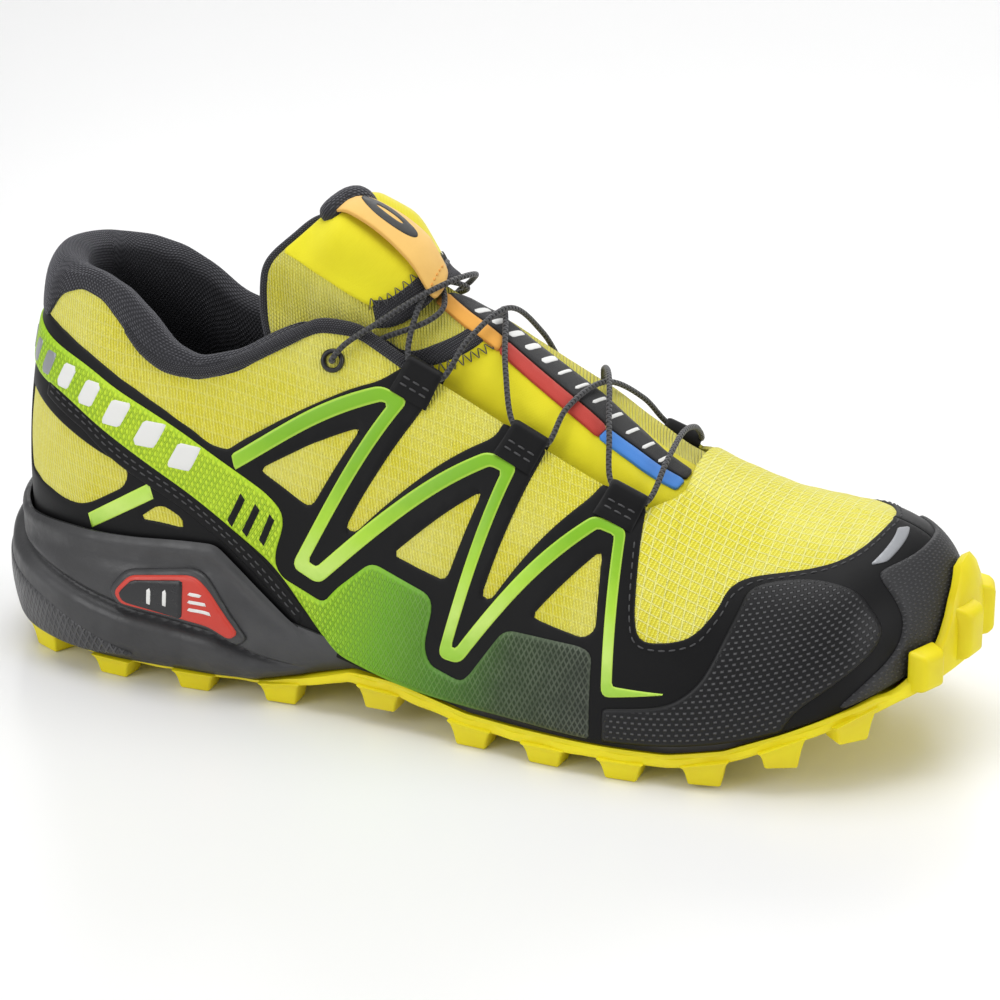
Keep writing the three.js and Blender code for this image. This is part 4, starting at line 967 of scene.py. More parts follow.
# Outlines on the lateral side, as station and height on the last, and the radii of their corners.
FILM_EDGE = [
    (.001, .52), (.96, .515), (1.41, .5), (2.07, .46), (2.6, .41), (3.09, .36), (3.26, .36), (3.36, .38),
    (4.11, .5), (4.66, .6), (4.88, .668), (5.18, .668), (5.03, .57), (4.43, .29), (4.53, .29), (5.73, .62),
    (5.78, .668), (6.18, .668), (6.14, .62), (5.76, .27), (5.85, .27), (6.6, .61), (6.68, .668),
    (7.07, .668), (7.08, .56), (7.13, .35), (7.19, .3), (7.41, .31), (7.64, .34), (7.82, .44), (7.87, .51),
    (8.06, .57), (8.8, .63), (9.13, .69), (9.6, .8), (HALF, .83), (HALF, .03), (9.2, .02), (5.2, .01),
    (4.9, .015), (4.2, .02), (3.3, .025), (.001, .04)]
FILM_TURNS = [
    .1, 4, 8, 10, 10, 3, 1, 2, 6, 4, 1, 1, 4, 1.6, 1.6, 4, 1, 1, 4, 1.6, 1.6, 4, 1, 1, 8, 4, 4, 5, 8, 8, 6,
    10, 12, 12, 12, .1, .1, 4, 4, 4, 4, 4, .1]
WINDOWS = [
    ([(4.53, .49), (3.57, .34), (4.09, .3)], [2.5, 2, 2.5]),
    ([(5.69, .49), (4.9, .28), (5.42, .27)], [2.5, 2, 2.5]),
    ([(6.78, .5), (6.23, .27), (6.71, .27), (6.81, .3)], [2.5, 2, 2, 2]),
    ([(.66, .35), (.72, .22), (.82, .18), (1.84, .16), (2.34, .24), (2.36, .28), (.96, .35)],
     [4, 6, 6, 8, 2.5, 2.5, 8]),
    ([(2.48, .18), (2.66, .22), (2.86, .2), (2.88, .18)], [1.5, 2.5, 2, 1])]
ZIGZAG = [
    (3.32, .34), (4.68, .575), (4.84, .575), (4, .19), (4.18, .18), (5.71, .565), (5.9, .57), (5.44, .125),
    (5.57, .125), (6.69, .56), (6.9, .565), (6.95, .155), (7.44, .17)]
BAND = [
    (.001, .49), (.72, .49), (1.8, .455), (2.51, .4), (3.09, .345), (3.67, .3), (3.86, .27), (3.74, .18),
    (3.82, .15), (4.24, .13), (4.37, .17), (4.71, .25), (5.33, .23), (5.24, .12), (5.3, .085), (5.6, .07),
    (5.68, .09), (6, .22), (6.7, .25), (6.8, .24), (6.81, .02), (5.2, .012), (4.9, .015), (4.36, .03),
    (3.78, .165), (3.42, .203), (2.75, .27), (2.21, .33), (1.56, .38), (.61, .4), (.001, .4)]
BAND_TURNS = [
    .1, 8, 8, 8, 8, 3, 4, 4, 2, 2, 2, 3, 4, 3, 2, 2, 2, 3, 3, 2, .5, 4, 4, 4, 6, 6, 8, 8, 8, 8, .1]
GUARD = [
    (6.92, .11), (7.45, .135), (7.65, .18), (7.78, .24), (7.99, .44), (8.05, .52), (8.3, .56), (8.67, .57),
    (9.04, .5), (9.2, .32), (9.2, .26), (9.1, .2), (8.78, .13), (8.5, .08), (8.4, .02), (6.92, .02)]
GUARD_TURNS = [.6, 6, 6, 8, 8, 6, 6, 6, 8, 6, 6, 8, 8, 6, .5, .5]
TOE_CAP = [
    (8.8, .03), (8.95, .07), (9.29, .15), (9.38, .26), (9.34, .39), (9.25, .53), (9.3, .56), (9.61, .57),
    (HALF, .6)]

SIDES = (("lateral", list), ("medial", mirrored))


def overlay(name, outline, low, high, material, slot, *nodes, **options):
    """A layer welded on the cloth, between two heights over the last."""
    return finish(panel(name, outline, LAST_SURFACE, low, high, MAT[material], **options), slot, *nodes)


for side, place in SIDES:
    windows = [rounded(place(outline), place_turns(side, r)) for outline, r in WINDOWS]
    edge = rounded(place(FILM_EDGE), place_turns(side, FILM_TURNS))
    overlay("film_overlay_" + side, edge, FILM_LOW, FILM_HIGH, "film", "black_film", "film_" + side,
            holes=windows, raw=True)
    loop = mitred(on_side(side, ZIGZAG), width=3.1, outer=2.6, inner=0.9, tip=0.12)
    overlay("zigzag_" + side, loop, 0.85, 1.3, "green", "green_line", "zigzag_line_" + side,
            raw=True, edge=0.6, pitch=1.4)
    overlay("green_band_" + side, place(BAND), 0.9, 1.55, "band_" + side, "green_band", "heel_band_" + side,
            radius=place_turns(side, BAND_TURNS), edge=1.1)
    overlay("guard_" + side, place(GUARD), 0.9, 1.75, "guard", "guard_rubber", "mudguard_" + side,
            radius=place_turns(side, GUARD_TURNS), edge=1.4)
overlay("toe_cap_skin", TOE_CAP + mirrored(TOE_CAP)[1:], 0.9, 2.0, "cap", "guard_rubber", "toe_cap",
        radius=6, edge=1.6)
# A short slanted strip over the film beside the toe cap.
REFLECTOR = [(9.2, .6), (9.37, .59), (9.9, .725), (9.73, .755)]
overlay("reflective_strip", REFLECTOR, 0.9, 1.35, "silver", "reflector", "toe_reflector",
        radius=1.2, edge=0.4, pitch=1.2)

# The green strip between the two heel windows, and three bars and a row of plain blocks on the band.
HEEL_STRIP = [(1.98, .142), (2.58, .243)]
BARS = [(3.44, .283, -.12, -.062), (3.585, .272, -.12, -.062), (3.73, .262, -.1, -.058)]
BLOCK_STATIONS, BLOCK_LEAN, BLOCK_HALF_V, SILVER_BLOCKS = np.linspace(0.55, 2.86, 8), 0.05, 0.026, 3
BLOCK_MIDDLE = [(0.3, .445), (1.7, .415), (2.36, .37), (2.9, .322)]
for side, place in SIDES:
    strip = ribbon(on_side(side, HEEL_STRIP), 3.4, 1)
    overlay("heel_strip_" + side, strip, 0.85, 1.2, "green", "green_line", raw=True, edge=0.4, pitch=1.6)
    bars = []
    for i, (p, v, dp, dv) in enumerate(BARS):
        loop = ribbon(on_side(side, [(p, v), (p + dp, v + dv)]), 1.9, 1)
        bars.append(panel(f"bar_{i}", loop, LAST_SURFACE, 1.3, 2.0, MAT["film"],
                          raw=True, edge=0.5, pitch=0.9))
    finish(joined("band_bars_" + side, bars), "black_film")
    blocks = []
    for i, p in enumerate(BLOCK_STATIONS):
        middle, half_p = float(along(BLOCK_MIDDLE, p)), 0.082 + 0.004 * i
        corners = [(p + a * half_p + b * BLOCK_LEAN, middle + b * BLOCK_HALF_V)
                   for a, b in ((-1, -1), (1, -1), (1, 1), (-1, 1))]
        material = MAT["silver" if i < SILVER_BLOCKS else "white"]
        blocks.append(panel(f"block_{i}", place(corners), LAST_SURFACE, 1.3, 1.75, material,
                            radius=0.8, edge=0.25, pitch=1.6))
    finish(joined("band_blocks_" + side, blocks), "reflector")

# ------------------------------------------------------------------ padded collar

def padding(p, v):
    return 5.2 * smooth(0.2, 0.5, v) * (1 - smooth(2.9, 3.9, fold(p)))


def curve_through(points, per=6):
    """A smooth closed line through rows of control points, shaped (rows, controls, 2)."""
    count = points.shape[1]
    out = []
    for i in range(count):
        near = [points[:, (i + k) % count] for k in (-1, 0, 1, 2)]
        out += [blend(*near, t) for t in np.arange(per) / per]
    return np.stack(out, 1)


def swept(name, stations, section, material, slot, *nodes):
    """A closed section of (height, offset) points carried along the stations, with its ends closed."""
    controls = np.stack([np.stack(np.broadcast_arrays(v, n), -1) for v, n in section(stations)], 1)
    line = curve_through(controls)
    p = np.repeat(stations[:, None], line.shape[1], 1)
    points = over(LAST_SURFACE, p, line[..., 0], line[..., 1])
    rows, columns = points.shape[:2]
    around = np.concatenate([np.zeros((rows, 1)), np.cumsum(np.linalg.norm(
        np.diff(points, axis=1), axis=2), axis=1)], 1)
    u = np.interp(np.abs(stations), STEPS, ROUND) * np.sign(stations + 1e-9)
    uv = np.stack(np.broadcast_arrays(u[:, None], around), -1)
    faces = grid_faces(rows, columns, False, True)
    faces += [list(range(columns)), list(range((rows - 1) * columns, rows * columns))[::-1]]
    points = points.reshape(-1, 3)
    volume = sum(np.dot(points[f[0]], np.cross(points[f[1]], points[f[2]])) for f in faces[:-2])
    if volume < 0:
        faces = [f[::-1] for f in faces]
    return finish(make(name, points, faces, material, uv=uv.reshape(-1, 2), sharp=70), slot, *nodes)


def collar_section(p):
    """From under the collar's edge, up its outer face, over its rim and down the lining, and back."""
    top = along(COLLAR_TOP, fold(p))
    low = np.minimum(along(QUARTER_TOP, fold(p)), top - 0.035)
    low = low + (top - 0.014 - low) * smooth(3.5, 3.93, fold(p))
    thin = smooth(3.0, 3.9, fold(p))
    full = smooth(0.03, 0.12, top - low) * (1 - thin)

    def deep(v):
        return -3.8 - padding(p, v) + 0.6 * thin
    mid = (low + top) / 2
    return [
        (low - 0.012, 0.25), (low - 0.006, 0.9 - 0.4 * thin + 0.5 * full),
        (mid, 1.4 - 0.8 * thin + 1.2 * full),
        (top - 0.018, 0.9 - 0.5 * thin + 0.5 * full),
        (top, -1.4), (top - 0.004, deep(top) + 2.2), (top - 0.03, deep(top) + 0.1),
        (top - 0.08, deep(top) - 0.5),
        (0.38, deep(0.38) - 0.2), (0.24, deep(0.24) - 0.2), (0.1, deep(0.1) - 0.3),
        (0.1, deep(0.1) + 0.6), (0.24, deep(0.24) + 0.7), (0.38, deep(0.38) + 0.8), (low - 0.012, -1.2)]


collar = swept("padded_collar", np.linspace(-3.95, 3.95, 200), collar_section, MAT["knit"], "black_knit",
               "collar_lining", "collar_foam")


def binding_section(p):
    top = along(QUARTER_TOP, fold(p))
    low = top - (0.014 + 0.004 * smooth(3.0, 3.8, fold(p)))
    return [(low, 0.2), (low, 0.9), (top - 0.006, 1.75), (top + 0.012, 1.1), (top + 0.015, -0.4),
            (top + 0.004, -1.5), (low, -1.2)]


for side, sign in (("lateral", 1), ("medial", -1)):
    stations = np.linspace(2.15, 4.93, 90) * sign
    swept("collar_binding_" + side, stations, binding_section, MAT["binding"], "black_knit")

# ------------------------------------------------------------------ tongue

# How far across and how far ahead the tongue goes, its thickness, and how far the pocket swells over the lock.
TONGUE_EDGE, TONGUE_TOE, PAD = 0.43, 7.6, 4.4
POCKET_RISE = 6.3
ARCH_FLAT = np.array([34.0, 100.0])     # millimetres of a station and of the way across, over the instep
# Across the tongue, where its top edge lies; it runs on towards the heel on the lateral side.
TONGUE_TOP = eased([
    (-.5, 3.62), (-.43, 3.54), (-.36, 3.4), (-.25, 3.37), (-.15, 3.63), (0, 3.86), (.15, 3.9), (.5, 3.95)],
    0.06)
LOWER_CRESCENT = [
    (-.36, 4.6), (-.31, 4.84), (-.26, 5.1), (-.17, 5.34), (-.06, 5.43), (.06, 5.4), (.2, 5.14), (.3, 4.84)]


def tongue_face(p, c):
    """How far the tongue's face stands off the last: a ridge, sunken sides, and a high medial shoulder."""
    side = 3.9 * smooth(0.24, 0.37, np.abs(c))
    shoulder = 11.5 * smooth(0.11, 0.19, c) * fall(0.2, 0.42, c) * fall(4.3, 4.95, p)
    dome = 1.8 * fall(0.12, 0.34, np.abs(c)) * smooth(5.1, 5.6, p) * fall(6.4, 6.9, p)
    return -1.3 - side - 1.4 * smooth(6.8, 7.15, p) + shoulder + dome


def pocket_face(p, c):
    """The stretch panel over the lace lock."""
    swell = fall(0.09, 0.25, np.abs(c)) * smooth(3.72, 4.06, p) * (1 - 0.4 * smooth(4.65, 4.98, p))
    shoulder = 11.0 * smooth(0.06, 0.17, c) * fall(0.18, 0.32, c) * fall(4.3, 4.95, p)
    side = 3.9 * smooth(0.24, 0.37, np.abs(c))
    return -0.95 - side + POCKET_RISE * swell + shoulder


def pad_middle(p, c):
    return tongue_face(p, c) - PAD / 2 + 0.8 * fall(4.0, 4.5, p)


rows, count = 150, 110
columns = np.linspace(-TONGUE_EDGE, TONGUE_EDGE, count)
share = np.linspace(0, 1, rows) ** 1.25
top = along(TONGUE_TOP, columns)
p = top[None] + (TONGUE_TOE - top[None]) * share[:, None]
c = np.repeat(columns[None], rows, 0)
roll = np.sqrt(np.clip(1 - (1 - np.clip((p - top) / 0.14, 0, 1)) ** 2, 0, 1))
side_roll = np.sqrt(np.clip(1 - (1 - np.clip((TONGUE_EDGE - np.abs(c)) / 0.03, 0, 1)) ** 2, 0, 1))
thick = PAD * (0.12 + 0.88 * roll * side_roll)
crease = 0.35 * np.sin(p * 24 + c * 19) * smooth(0.24, 0.3, -c) * fall(4.6, 5.2, p)
outer = over(ARCH_SURFACE, p, c, pad_middle(p, c) + thick / 2 + crease)
inner = over(ARCH_SURFACE, p, c, pad_middle(p, c) - thick / 2)
tongue = shell("padded_tongue", outer, inner, MAT["knit"], np.stack([p, c], -1) * ARCH_FLAT)
# Its face is rib knit towards the heel and on the medial side, and stretch fabric elsewhere.
tongue.data.materials.append(MAT["rib"])
tongue.data.materials.append(MAT["stretch"])
RIB, STRETCH = 1, 2
kinds = np.zeros(len(tongue.data.polygons), np.int32)
ribbed = (p < along(LOWER_CRESCENT, c)) | (c > -0.04)
kinds[:(rows - 1) * (count - 1)] = np.where(ribbed, RIB, STRETCH)[:-1, :-1].ravel()
tongue.data.polygons.foreach_set("material_index", kinds)
finish(tongue, "yellow_mesh", "tongue_face", "tongue_foam", "tongue_lining")

# The knit piping round its edge, and the lining that stands up beyond it behind the strap.
side_p = np.linspace(4.9, 3.6, 30)
top_c = np.linspace(-TONGUE_EDGE, TONGUE_EDGE, 90)
rim_p = np.concatenate([side_p, along(TONGUE_TOP, top_c) - 0.02, side_p[::-1] + 0.4])
rim_c = np.concatenate([np.full(30, -TONGUE_EDGE - 0.004), top_c, np.full(30, TONGUE_EDGE + 0.004)])
rim_path = over(ARCH_SURFACE, rim_p, rim_c, pad_middle(rim_p, rim_c) + 0.4)
finish(tube("tongue_binding", spaced(rim_path, 1.0, False), 1.45, MAT["binding"], girth=1.45), "black_knit")
roll_line = np.array([(3.89, -.03, 3.2), (3.94, .0, 5.4), (4.0, .05, 7.2), (4.04, .1, 6.6),
    (4.06, .15, 4.6), (4.08, .21, 2), (4.1, .28, -1), (4.1, .36, -4)])
roll_line = spaced(curve_through(roll_line[None], 10)[0][:71], 0.04, False)
path = over(ARCH_SURFACE, roll_line[:, 0], roll_line[:, 1], roll_line[:, 2] - 0.8)
thick = 1.0 + 3.5 * np.sin(np.linspace(0.06, 0.94, len(path)) * math.pi) ** 0.45
finish(tube("tongue_lining_roll", path, thick, MAT["knit"], 28, girth=4.0), "black_knit")

PANEL = [
    (3.5, -.212), (3.67, -.145), (3.87, -.005), (3.91, .15), (3.97, .27), (4.4, .27), (4.75, .2),
    (4.9, .06), (4.88, -.08), (4.66, -.225), (4.5, -.25), (4.08, -.25)]


def over_face(name, outline, face, low, high, material, **options):
    """A panel over the instep, between two heights over a face of the tongue."""
    return panel(name, outline, ARCH_SURFACE, lambda p, c: face(p, c) + low, lambda p, c: face(p, c) + high,
                 MAT[material], flat=ARCH_FLAT, **options)


PANEL_TURNS = [2, 6, 6, 6, 2, 6, 6, 6, 6, 6, 4, 12]
finish(over_face("lace_pocket_panel", PANEL, pocket_face, -0.2, 0.75, "stretch", radius=PANEL_TURNS,
                 edge=1.0, pitch=1.5), "yellow_stretch", "lace_pocket")
HEM = [
    (4.5, -.262), (4.66, -.235), (4.82, -.165), (4.92, -.07), (4.95, .03), (4.88, .13), (4.72, .2),
    (4.55, .235)]
finish(over_face("pocket_hem", ribbon(HEM, 6.6, 6, ARCH_FLAT), pocket_face, 0.1, 1.25, "binding",
                 raw=True, edge=0.9, pitch=1.4), "black_knit", "pocket_binding")
CRESCENT = [
    (4.58, -.33), (4.86, -.337), (5.14, -.292), (5.42, -.19), (5.54, -.06), (5.5, .08), (5.22, .22),
    (4.9, .31), (4.86, .28), (5.12, .195), (5.36, .07), (5.38, -.05), (5.27, -.16), (5.04, -.255),
    (4.82, -.308), (4.6, -.3)]
finish(over_face("tongue_crescent", CRESCENT, tongue_face, -0.8, 0.6, "binding",
                 radius=9, edge=0.8, pitch=1.5), "black_knit")


def zigzag_stitches(name, line, face, rise, reach):
    """Overlock stitches that go from side to side along a line."""
    path = rounded(line, 8, closed=False, step=1.5, flat=ARCH_FLAT)
    swing = np.where(np.arange(len(path)) % 2, 1, -1)[:, None] * reach
    path = path + left_of(unit(np.gradient(path, axis=0))) * swing
    p, c = (path / ARCH_FLAT).T
    at, n = over(ARCH_SURFACE, p, c, face(p, c) + rise), arch_normal(p, c)
    rows = [(at[i:i + 2], n[i:i + 2]) for i in range(len(at) - 1)]
    finish(thread(name, rows, "overlock"), "black_knit")


HEM_SEAM = [(4.44, -.25), (4.6, -.215), (4.74, -.145), (4.82, -.06), (4.85, .03), (4.78, .13)]
CRESCENT_SEAM = [(4.7, -.345), (4.88, -.34), (5.18, -.295), (5.46, -.192), (5.56, -.12)]
zigzag_stitches("hem_stitches", HEM_SEAM, pocket_face, 1.2, 1.5)
zigzag_stitches("crescent_stitches", CRESCENT_SEAM, tongue_face, 0.5, 1.4)

STRAP_TOP, STRAP_TOE, STRAP_ARCH = 3.8, 4.98, 2.2


def strap_face(p, c):
    lift = np.sin(math.pi * np.clip((p - STRAP_TOP) / (STRAP_TOE - STRAP_TOP), 0, 1))
    return pocket_face(p, np.clip(c, -0.08, 0.09)) + 1.0 + STRAP_ARCH * lift


STRAP = [
    (3.78, -.055), (4.3, -.075), (4.7, -.112), (4.9, -.142), (4.97, -.145), (5.01, -.09), (4.96, -.01),
    (4.7, .03), (4.3, .062), (3.78, .085)]
STRAP_TURNS = [1, 12, 12, 4, 1.5, 3, 3, 12, 12, 1]
finish(over_face("pull_strap_loop", STRAP, strap_face, 0, 0.9, "strap", radius=STRAP_TURNS,
                 edge=0.25, pitch=1.5), "orange_strap", "pull_strap")
turn = np.linspace(0, 2 * math.pi, 48, endpoint=False)
MARK_AT, MARK_SLANT = (4.34, -0.006), -0.06


def oval(long, wide):
    p = MARK_AT[0] + long * np.cos(turn)
    return np.stack([p, MARK_AT[1] + MARK_SLANT * (p - MARK_AT[0]) + wide * np.sin(turn)], 1) * ARCH_FLAT


finish(over_face("strap_mark", oval(.28, .034), strap_face, 0.75, 1.15, "strap_mark",
                 holes=[oval(.13, .009)[::-1]], raw=True, edge=0.3, pitch=1.0), "badge_black")
p, c = np.full(24, 4.9), np.linspace(-.125, -.02, 24)
line = (over(ARCH_SURFACE, p, c, strap_face(p, c) + 0.9), arch_normal(p, c))
finish(thread("strap_stitches", [line], "strap", "thread_orange"), "orange_strap")

# The woven label: a dark field with plain bars, and three coloured lengths beside it.
LABELS = [
    ("field", "black", 0.95, [(5.03, -.035), (5.2, .055), (5.9, .0), (6.82, -.05), (7.36, -.085),
    (7.33, -.142), (6.6, -.148), (5.62, -.085), (5.3, -.062)]), ("heel", "orange", 1.0, [(4.98, -.11),
    (5.3, -.136), (5.6, -.15), (5.62, -.09), (5.3, -.065), (5.02, -.03)]),
    ("middle", "red", 1.0, [(5.6, -.15), (6.1, -.18), (6.55, -.205), (6.6, -.153), (6.1, -.122),
    (5.62, -.09)]), ("toe", "blue", 1.0, [(6.55, -.205), (6.95, -.21), (7.28, -.205), (7.33, -.147),
    (6.6, -.153)])]
strips = [over_face("label_" + name, outline, tongue_face, 0.1, high, "label_" + colour,
                    radius=1, edge=0.35, pitch=2.0)
          for name, colour, high, outline in LABELS]
LONG_BARS, BAR_MIDDLE = 5, [(5.2, -.01), (5.9, -.04), (6.82, -.098), (7.3, -.115)]
for i, p in enumerate(np.linspace(5.28, 7.05, 12)):
    wide = 0.06 if i < LONG_BARS else 0.03
    c = float(along(BAR_MIDDLE, p))
    corners = [(p, c - .036), (p + wide, c - .038), (p + wide + .08, c + .028), (p + .08, c + .03)]
    strips.append(over_face(f"label_bar_{i}", corners, tongue_face, 0.85, 1.15, "white",
                            radius=1, edge=0.2, pitch=2.0))
finish(joined("tongue_label_strip", strips), "label_weave", "tongue_label")

# ------------------------------------------------------------------ lacing

# The loops' stations and place across, how high and how long the lace runs in them, and its radius.
LOOPS, LOOP_C, LOOP_RISE, LOOP_LENGTH, LACE_R = [5.03, 6.02, 6.9], 0.328, 2.1, 7.4, 0.85
TAB_WIDTH, TAB_STEP = 12.4, 0.6


def loop_pose(sign, station):
    """Columns: down the wall, out of it, and along the lace; and the place."""
    c = sign * LOOP_C
    at, out = arch_at(station, c), arch_normal(station, c)
    throat = unit(arch_at(station + 0.03, c) - arch_at(station - 0.03, c))
    down = unit(np.cross(out, throat))
    down = down * np.sign(down @ (arch_at(station, c + sign * 0.01) - at))
    return np.stack([down, out, np.cross(down, out)], 1), at


def posed(pose, points):
    return np.asarray(points, float) @ pose[0].T + pose[1]


def tab_section():
    """A tab of film folded round the lace: from under the arm's film, round the lace and back."""
    line = [(9.8, 0.3), (8.3, 0.95), (6.3, 1.35), (4.0, 2.1), (2.2, 3.0)]
    line += [(1.7 * math.cos(a), LOOP_RISE - 0.2 + 1.6 * math.sin(a))
             for a in np.linspace(math.radians(70), math.radians(185), 10)]
    line += [(-1.7, 0.2), (-1.2, -0.9), (0.2, -1.3), (2.8, -1.35)]
    return spaced(np.array(line), TAB_STEP, False)


def lace_tab(name, pose):
    """The folded tab, a little narrower at its middle and thinner at its sides."""
    line = tab_section()
    out = left_of(unit(np.gradient(line, axis=0)))
    out *= np.sign((out * (line - [0, LOOP_RISE])).sum(1).mean())
    s = np.linspace(0, 1, len(line))
    half = TAB_WIDTH / 2 * (1 - 0.05 * np.sin(math.pi * s))
    wide = np.linspace(-1, 1, 15)
    edge = 0.4 * np.sqrt(np.clip(1 - wide ** 10, 0, 1))
    outer, inner = (np.stack([line[:, :1] + k * out[:, :1] * edge, line[:, 1:] + k * out[:, 1:] * edge,
                              half[:, None] * wide], -1) for k in (1, -1))
    length = s * len(line) * TAB_STEP
    uv = np.stack(np.broadcast_arrays(length[:, None], half[:, None] * wide[None]), -1)
    rim = np.broadcast_to((1 - np.abs(wide)) * 6, outer.shape[:2])
    return shell(name, posed(pose, outer), posed(pose, inner), MAT["film"], uv, rim)


for side, sign in (("lateral", -1), ("medial", 1)):
    for i, station in enumerate(LOOPS, 1):
        pose = loop_pose(sign, station)
        finish(lace_tab(f"lace_tab_{side}_{i}", pose), "loop_webbing", f"lace_loop_{side}_{i}")
        n = np.tile(pose[0][:, 1], (20, 1))
        rows = [(posed(pose, [(x, high, z) for z in np.linspace(-4.8, 4.8, 20)]), n)
                for x, high in ((4.6, 2.3), (6.7, 1.68))]
        finish(thread(f"tab_stitches_{side}_{i}", rows, "tab"), "loop_webbing")


def place_over(p, c, n):
    return over(ARCH_SURFACE, np.array(p), np.array(c), n)


def cord_through(points, per=9):
    """A smooth line through points with unequal gaps."""
    points = np.array(points)
    ends = np.vstack([2 * points[:1] - points[1:2], points, 2 * points[-1:] - points[-2:-1]])
    out = []
    for a, b, c, d in zip(ends, ends[1:], ends[2:], ends[3:]):
        g0, g1, g2 = (max(np.linalg.norm(q - r), 1e-3) ** 0.5 for q, r in ((b, a), (c, b), (d, c)))
        m1 = ((b - a) / g0 - (c - a) / (g0 + g1) + (c - b) / g1) * g1
        m2 = ((c - b) / g1 - (d - b) / (g1 + g2) + (d - c) / g2) * g1
        t = np.linspace(0, 1, per, endpoint=False)[:, None]
        out.append((2 * t ** 3 - 3 * t * t + 1) * b + (t ** 3 - 2 * t * t + t) * m1
                   + (3 * t * t - 2 * t ** 3) * c + (t ** 3 - t * t) * m2)
    return np.vstack(out + [points[-1:]])


LOCK_AT = place_over(4.44, 0, 0.5)
lock_up = arch_at(4.15, 0) - arch_at(4.8, 0)
lock_up[1] = 0
lock_up = unit(lock_up)
lock_out = -np.cross(lock_up, [0, 1, 0])
LOCK_POSE = np.stack([lock_up, np.cross(lock_out, lock_up), lock_out], 1), LOCK_AT
STRAND_Y = 4.7


def in_lock(sign):
    return [posed(LOCK_POSE, (x, sign * STRAND_Y, 0)) for x in (9.6, 2, -6, -11, -14)]


def in_loop(sign, i):
    pose, reach = loop_pose(sign, LOOPS[i]), LOOP_LENGTH / 2 + 1.6
    points = [posed(pose, (0, LOOP_RISE, end * reach)) for end in (1, 0, -1)]
    return sorted(points, key=lambda q: q[0])


def in_eyelet(sign):
    return [place_over(p, sign * c, n) for p, c, n in [
        (5.04, .1, 1.4), (5.05, .15, 2.1), (4.97, .205, 2.2), (4.82, .255, 1.3), (4.64, .3, -.9),
        (4.48, .345, -2.4), (4.33, .385, -3.8), (4.2, .411, -3), (4.2, .41, 0), (4.2, .41, 2)]]


def across_instep(sign, start, end, high):
    low = 1.6 + (high - 1.6) * 0.6
    return [place_over(start + (end - start) * share, sign * c, n)
            for share, c, n in ((0.16, .2, low), (0.5, 0, high), (0.84, -.2, low))]


LOW_CROSSING, HIGH_CROSSING = 3.2, 5.4
route = in_lock(-1) + in_eyelet(-1)
route += [place_over(*q) for q in [
    (4.3, -.37, 3.3), (4.55, -.29, 3.4), (4.82, -.18, 5), (5.04, -.06, 6.4), (5.12, .05, 6.4), (5.02, .17, 5),
    (4.86, .262, 2.6)]]
route += in_loop(1, 0) + across_instep(1, 5.24, 5.78, LOW_CROSSING) + in_loop(-1, 1)
route += across_instep(-1, 6.16, 6.7, LOW_CROSSING) + in_loop(1, 2)
route += [place_over(*q) for q in [(7.12, .16, 2.6), (7.14, 0, 3), (7.12, -.16, 2.6)]]
route += in_loop(-1, 2)[::-1] + across_instep(-1, 6.7, 6.16, HIGH_CROSSING) + in_loop(1, 1)[::-1]
route += across_instep(1, 5.78, 5.24, HIGH_CROSSING) + in_loop(-1, 0)[::-1]
route += [place_over(*q) for q in [
    (4.86, -.2, 3.5), (4.9, -.08, 4.3), (4.88, .05, 4.6), (4.74, .19, 4.4), (4.5, .31, 3.4), (4.28, .38, 3.3)]]
route += in_eyelet(1)[::-1] + in_lock(1)[::-1]
lace_path = spaced(cord_through(route, 12), 0.7, False)
finish(tube("lace_cord", lace_path, LACE_R, MAT["lace"], 14), "lace_cord", "lace")


def ring_turned(name, at, axis, profile, material):
    """A closed profile of (radius, height) points turned round an axis."""
    sides = 48
    x = unit(np.cross(axis, [0.2, 0.9, 0.1]))
    y = np.cross(axis, x)
    angle = np.linspace(0, 2 * math.pi, sides, endpoint=False)
    profile = np.array(profile, float)
    around = np.cos(angle)[:, None] * x + np.sin(angle)[:, None] * y
    pts = at + around[:, None] * profile[None, :, :1] + axis * profile[None, :, 1:]
    faces = grid_faces(sides, len(profile), True, True)
    uv = np.stack(np.broadcast_arrays(angle[:, None] * 3, profile[None, :, 1]), -1)
    return make(name, pts.reshape(-1, 3), faces, material, uv=uv.reshape(-1, 2), sharp=70)


EYELET_P, EYELET_V = 4.2, 0.59
EYELET_RING = [
    (2.1, 1.0), (2.25, 1.45), (2.6, 1.7), (3.0, 1.65), (3.4, 1.3), (3.55, 0.9), (3.5, 0.4), (2.7, 0.35),
    (2.7, -1.8), (3.6, -1.9), (3.6, -2.3), (2.1, -2.3)]
for side, station in (("lateral", EYELET_P), ("medial", FULL - EYELET_P)):
    at, n = last_at(station, EYELET_V), last_normal(station, EYELET_V)
    finish(ring_turned("eyelet_ring_" + side, at, n, EYELET_RING, MAT["black"]),
           "eyelet_plastic", "eyelet_" + side)

# ------------------------------------------------------------------ sole

# The skin's thickness, the gap over it, the lugs' height, and how far off the last the bumper and the cup start.
SKIN, GAP, LUG_HEIGHT, BUMPER_INNER, CUP_INNER = 3.0, 0.3, 6.0, 3.1, 2.0
UNDERSIDE = eased([
    (0, 9), (15, 6), (30, 5.2), (90, 5.2), (105, 7), (122, 11.5), (138, 10), (160, 6), (176, 5.4),
    (222, 5.4), (238, 8), (254, 14), (268, 20), (280, 25), (300, 33)], 0.08)
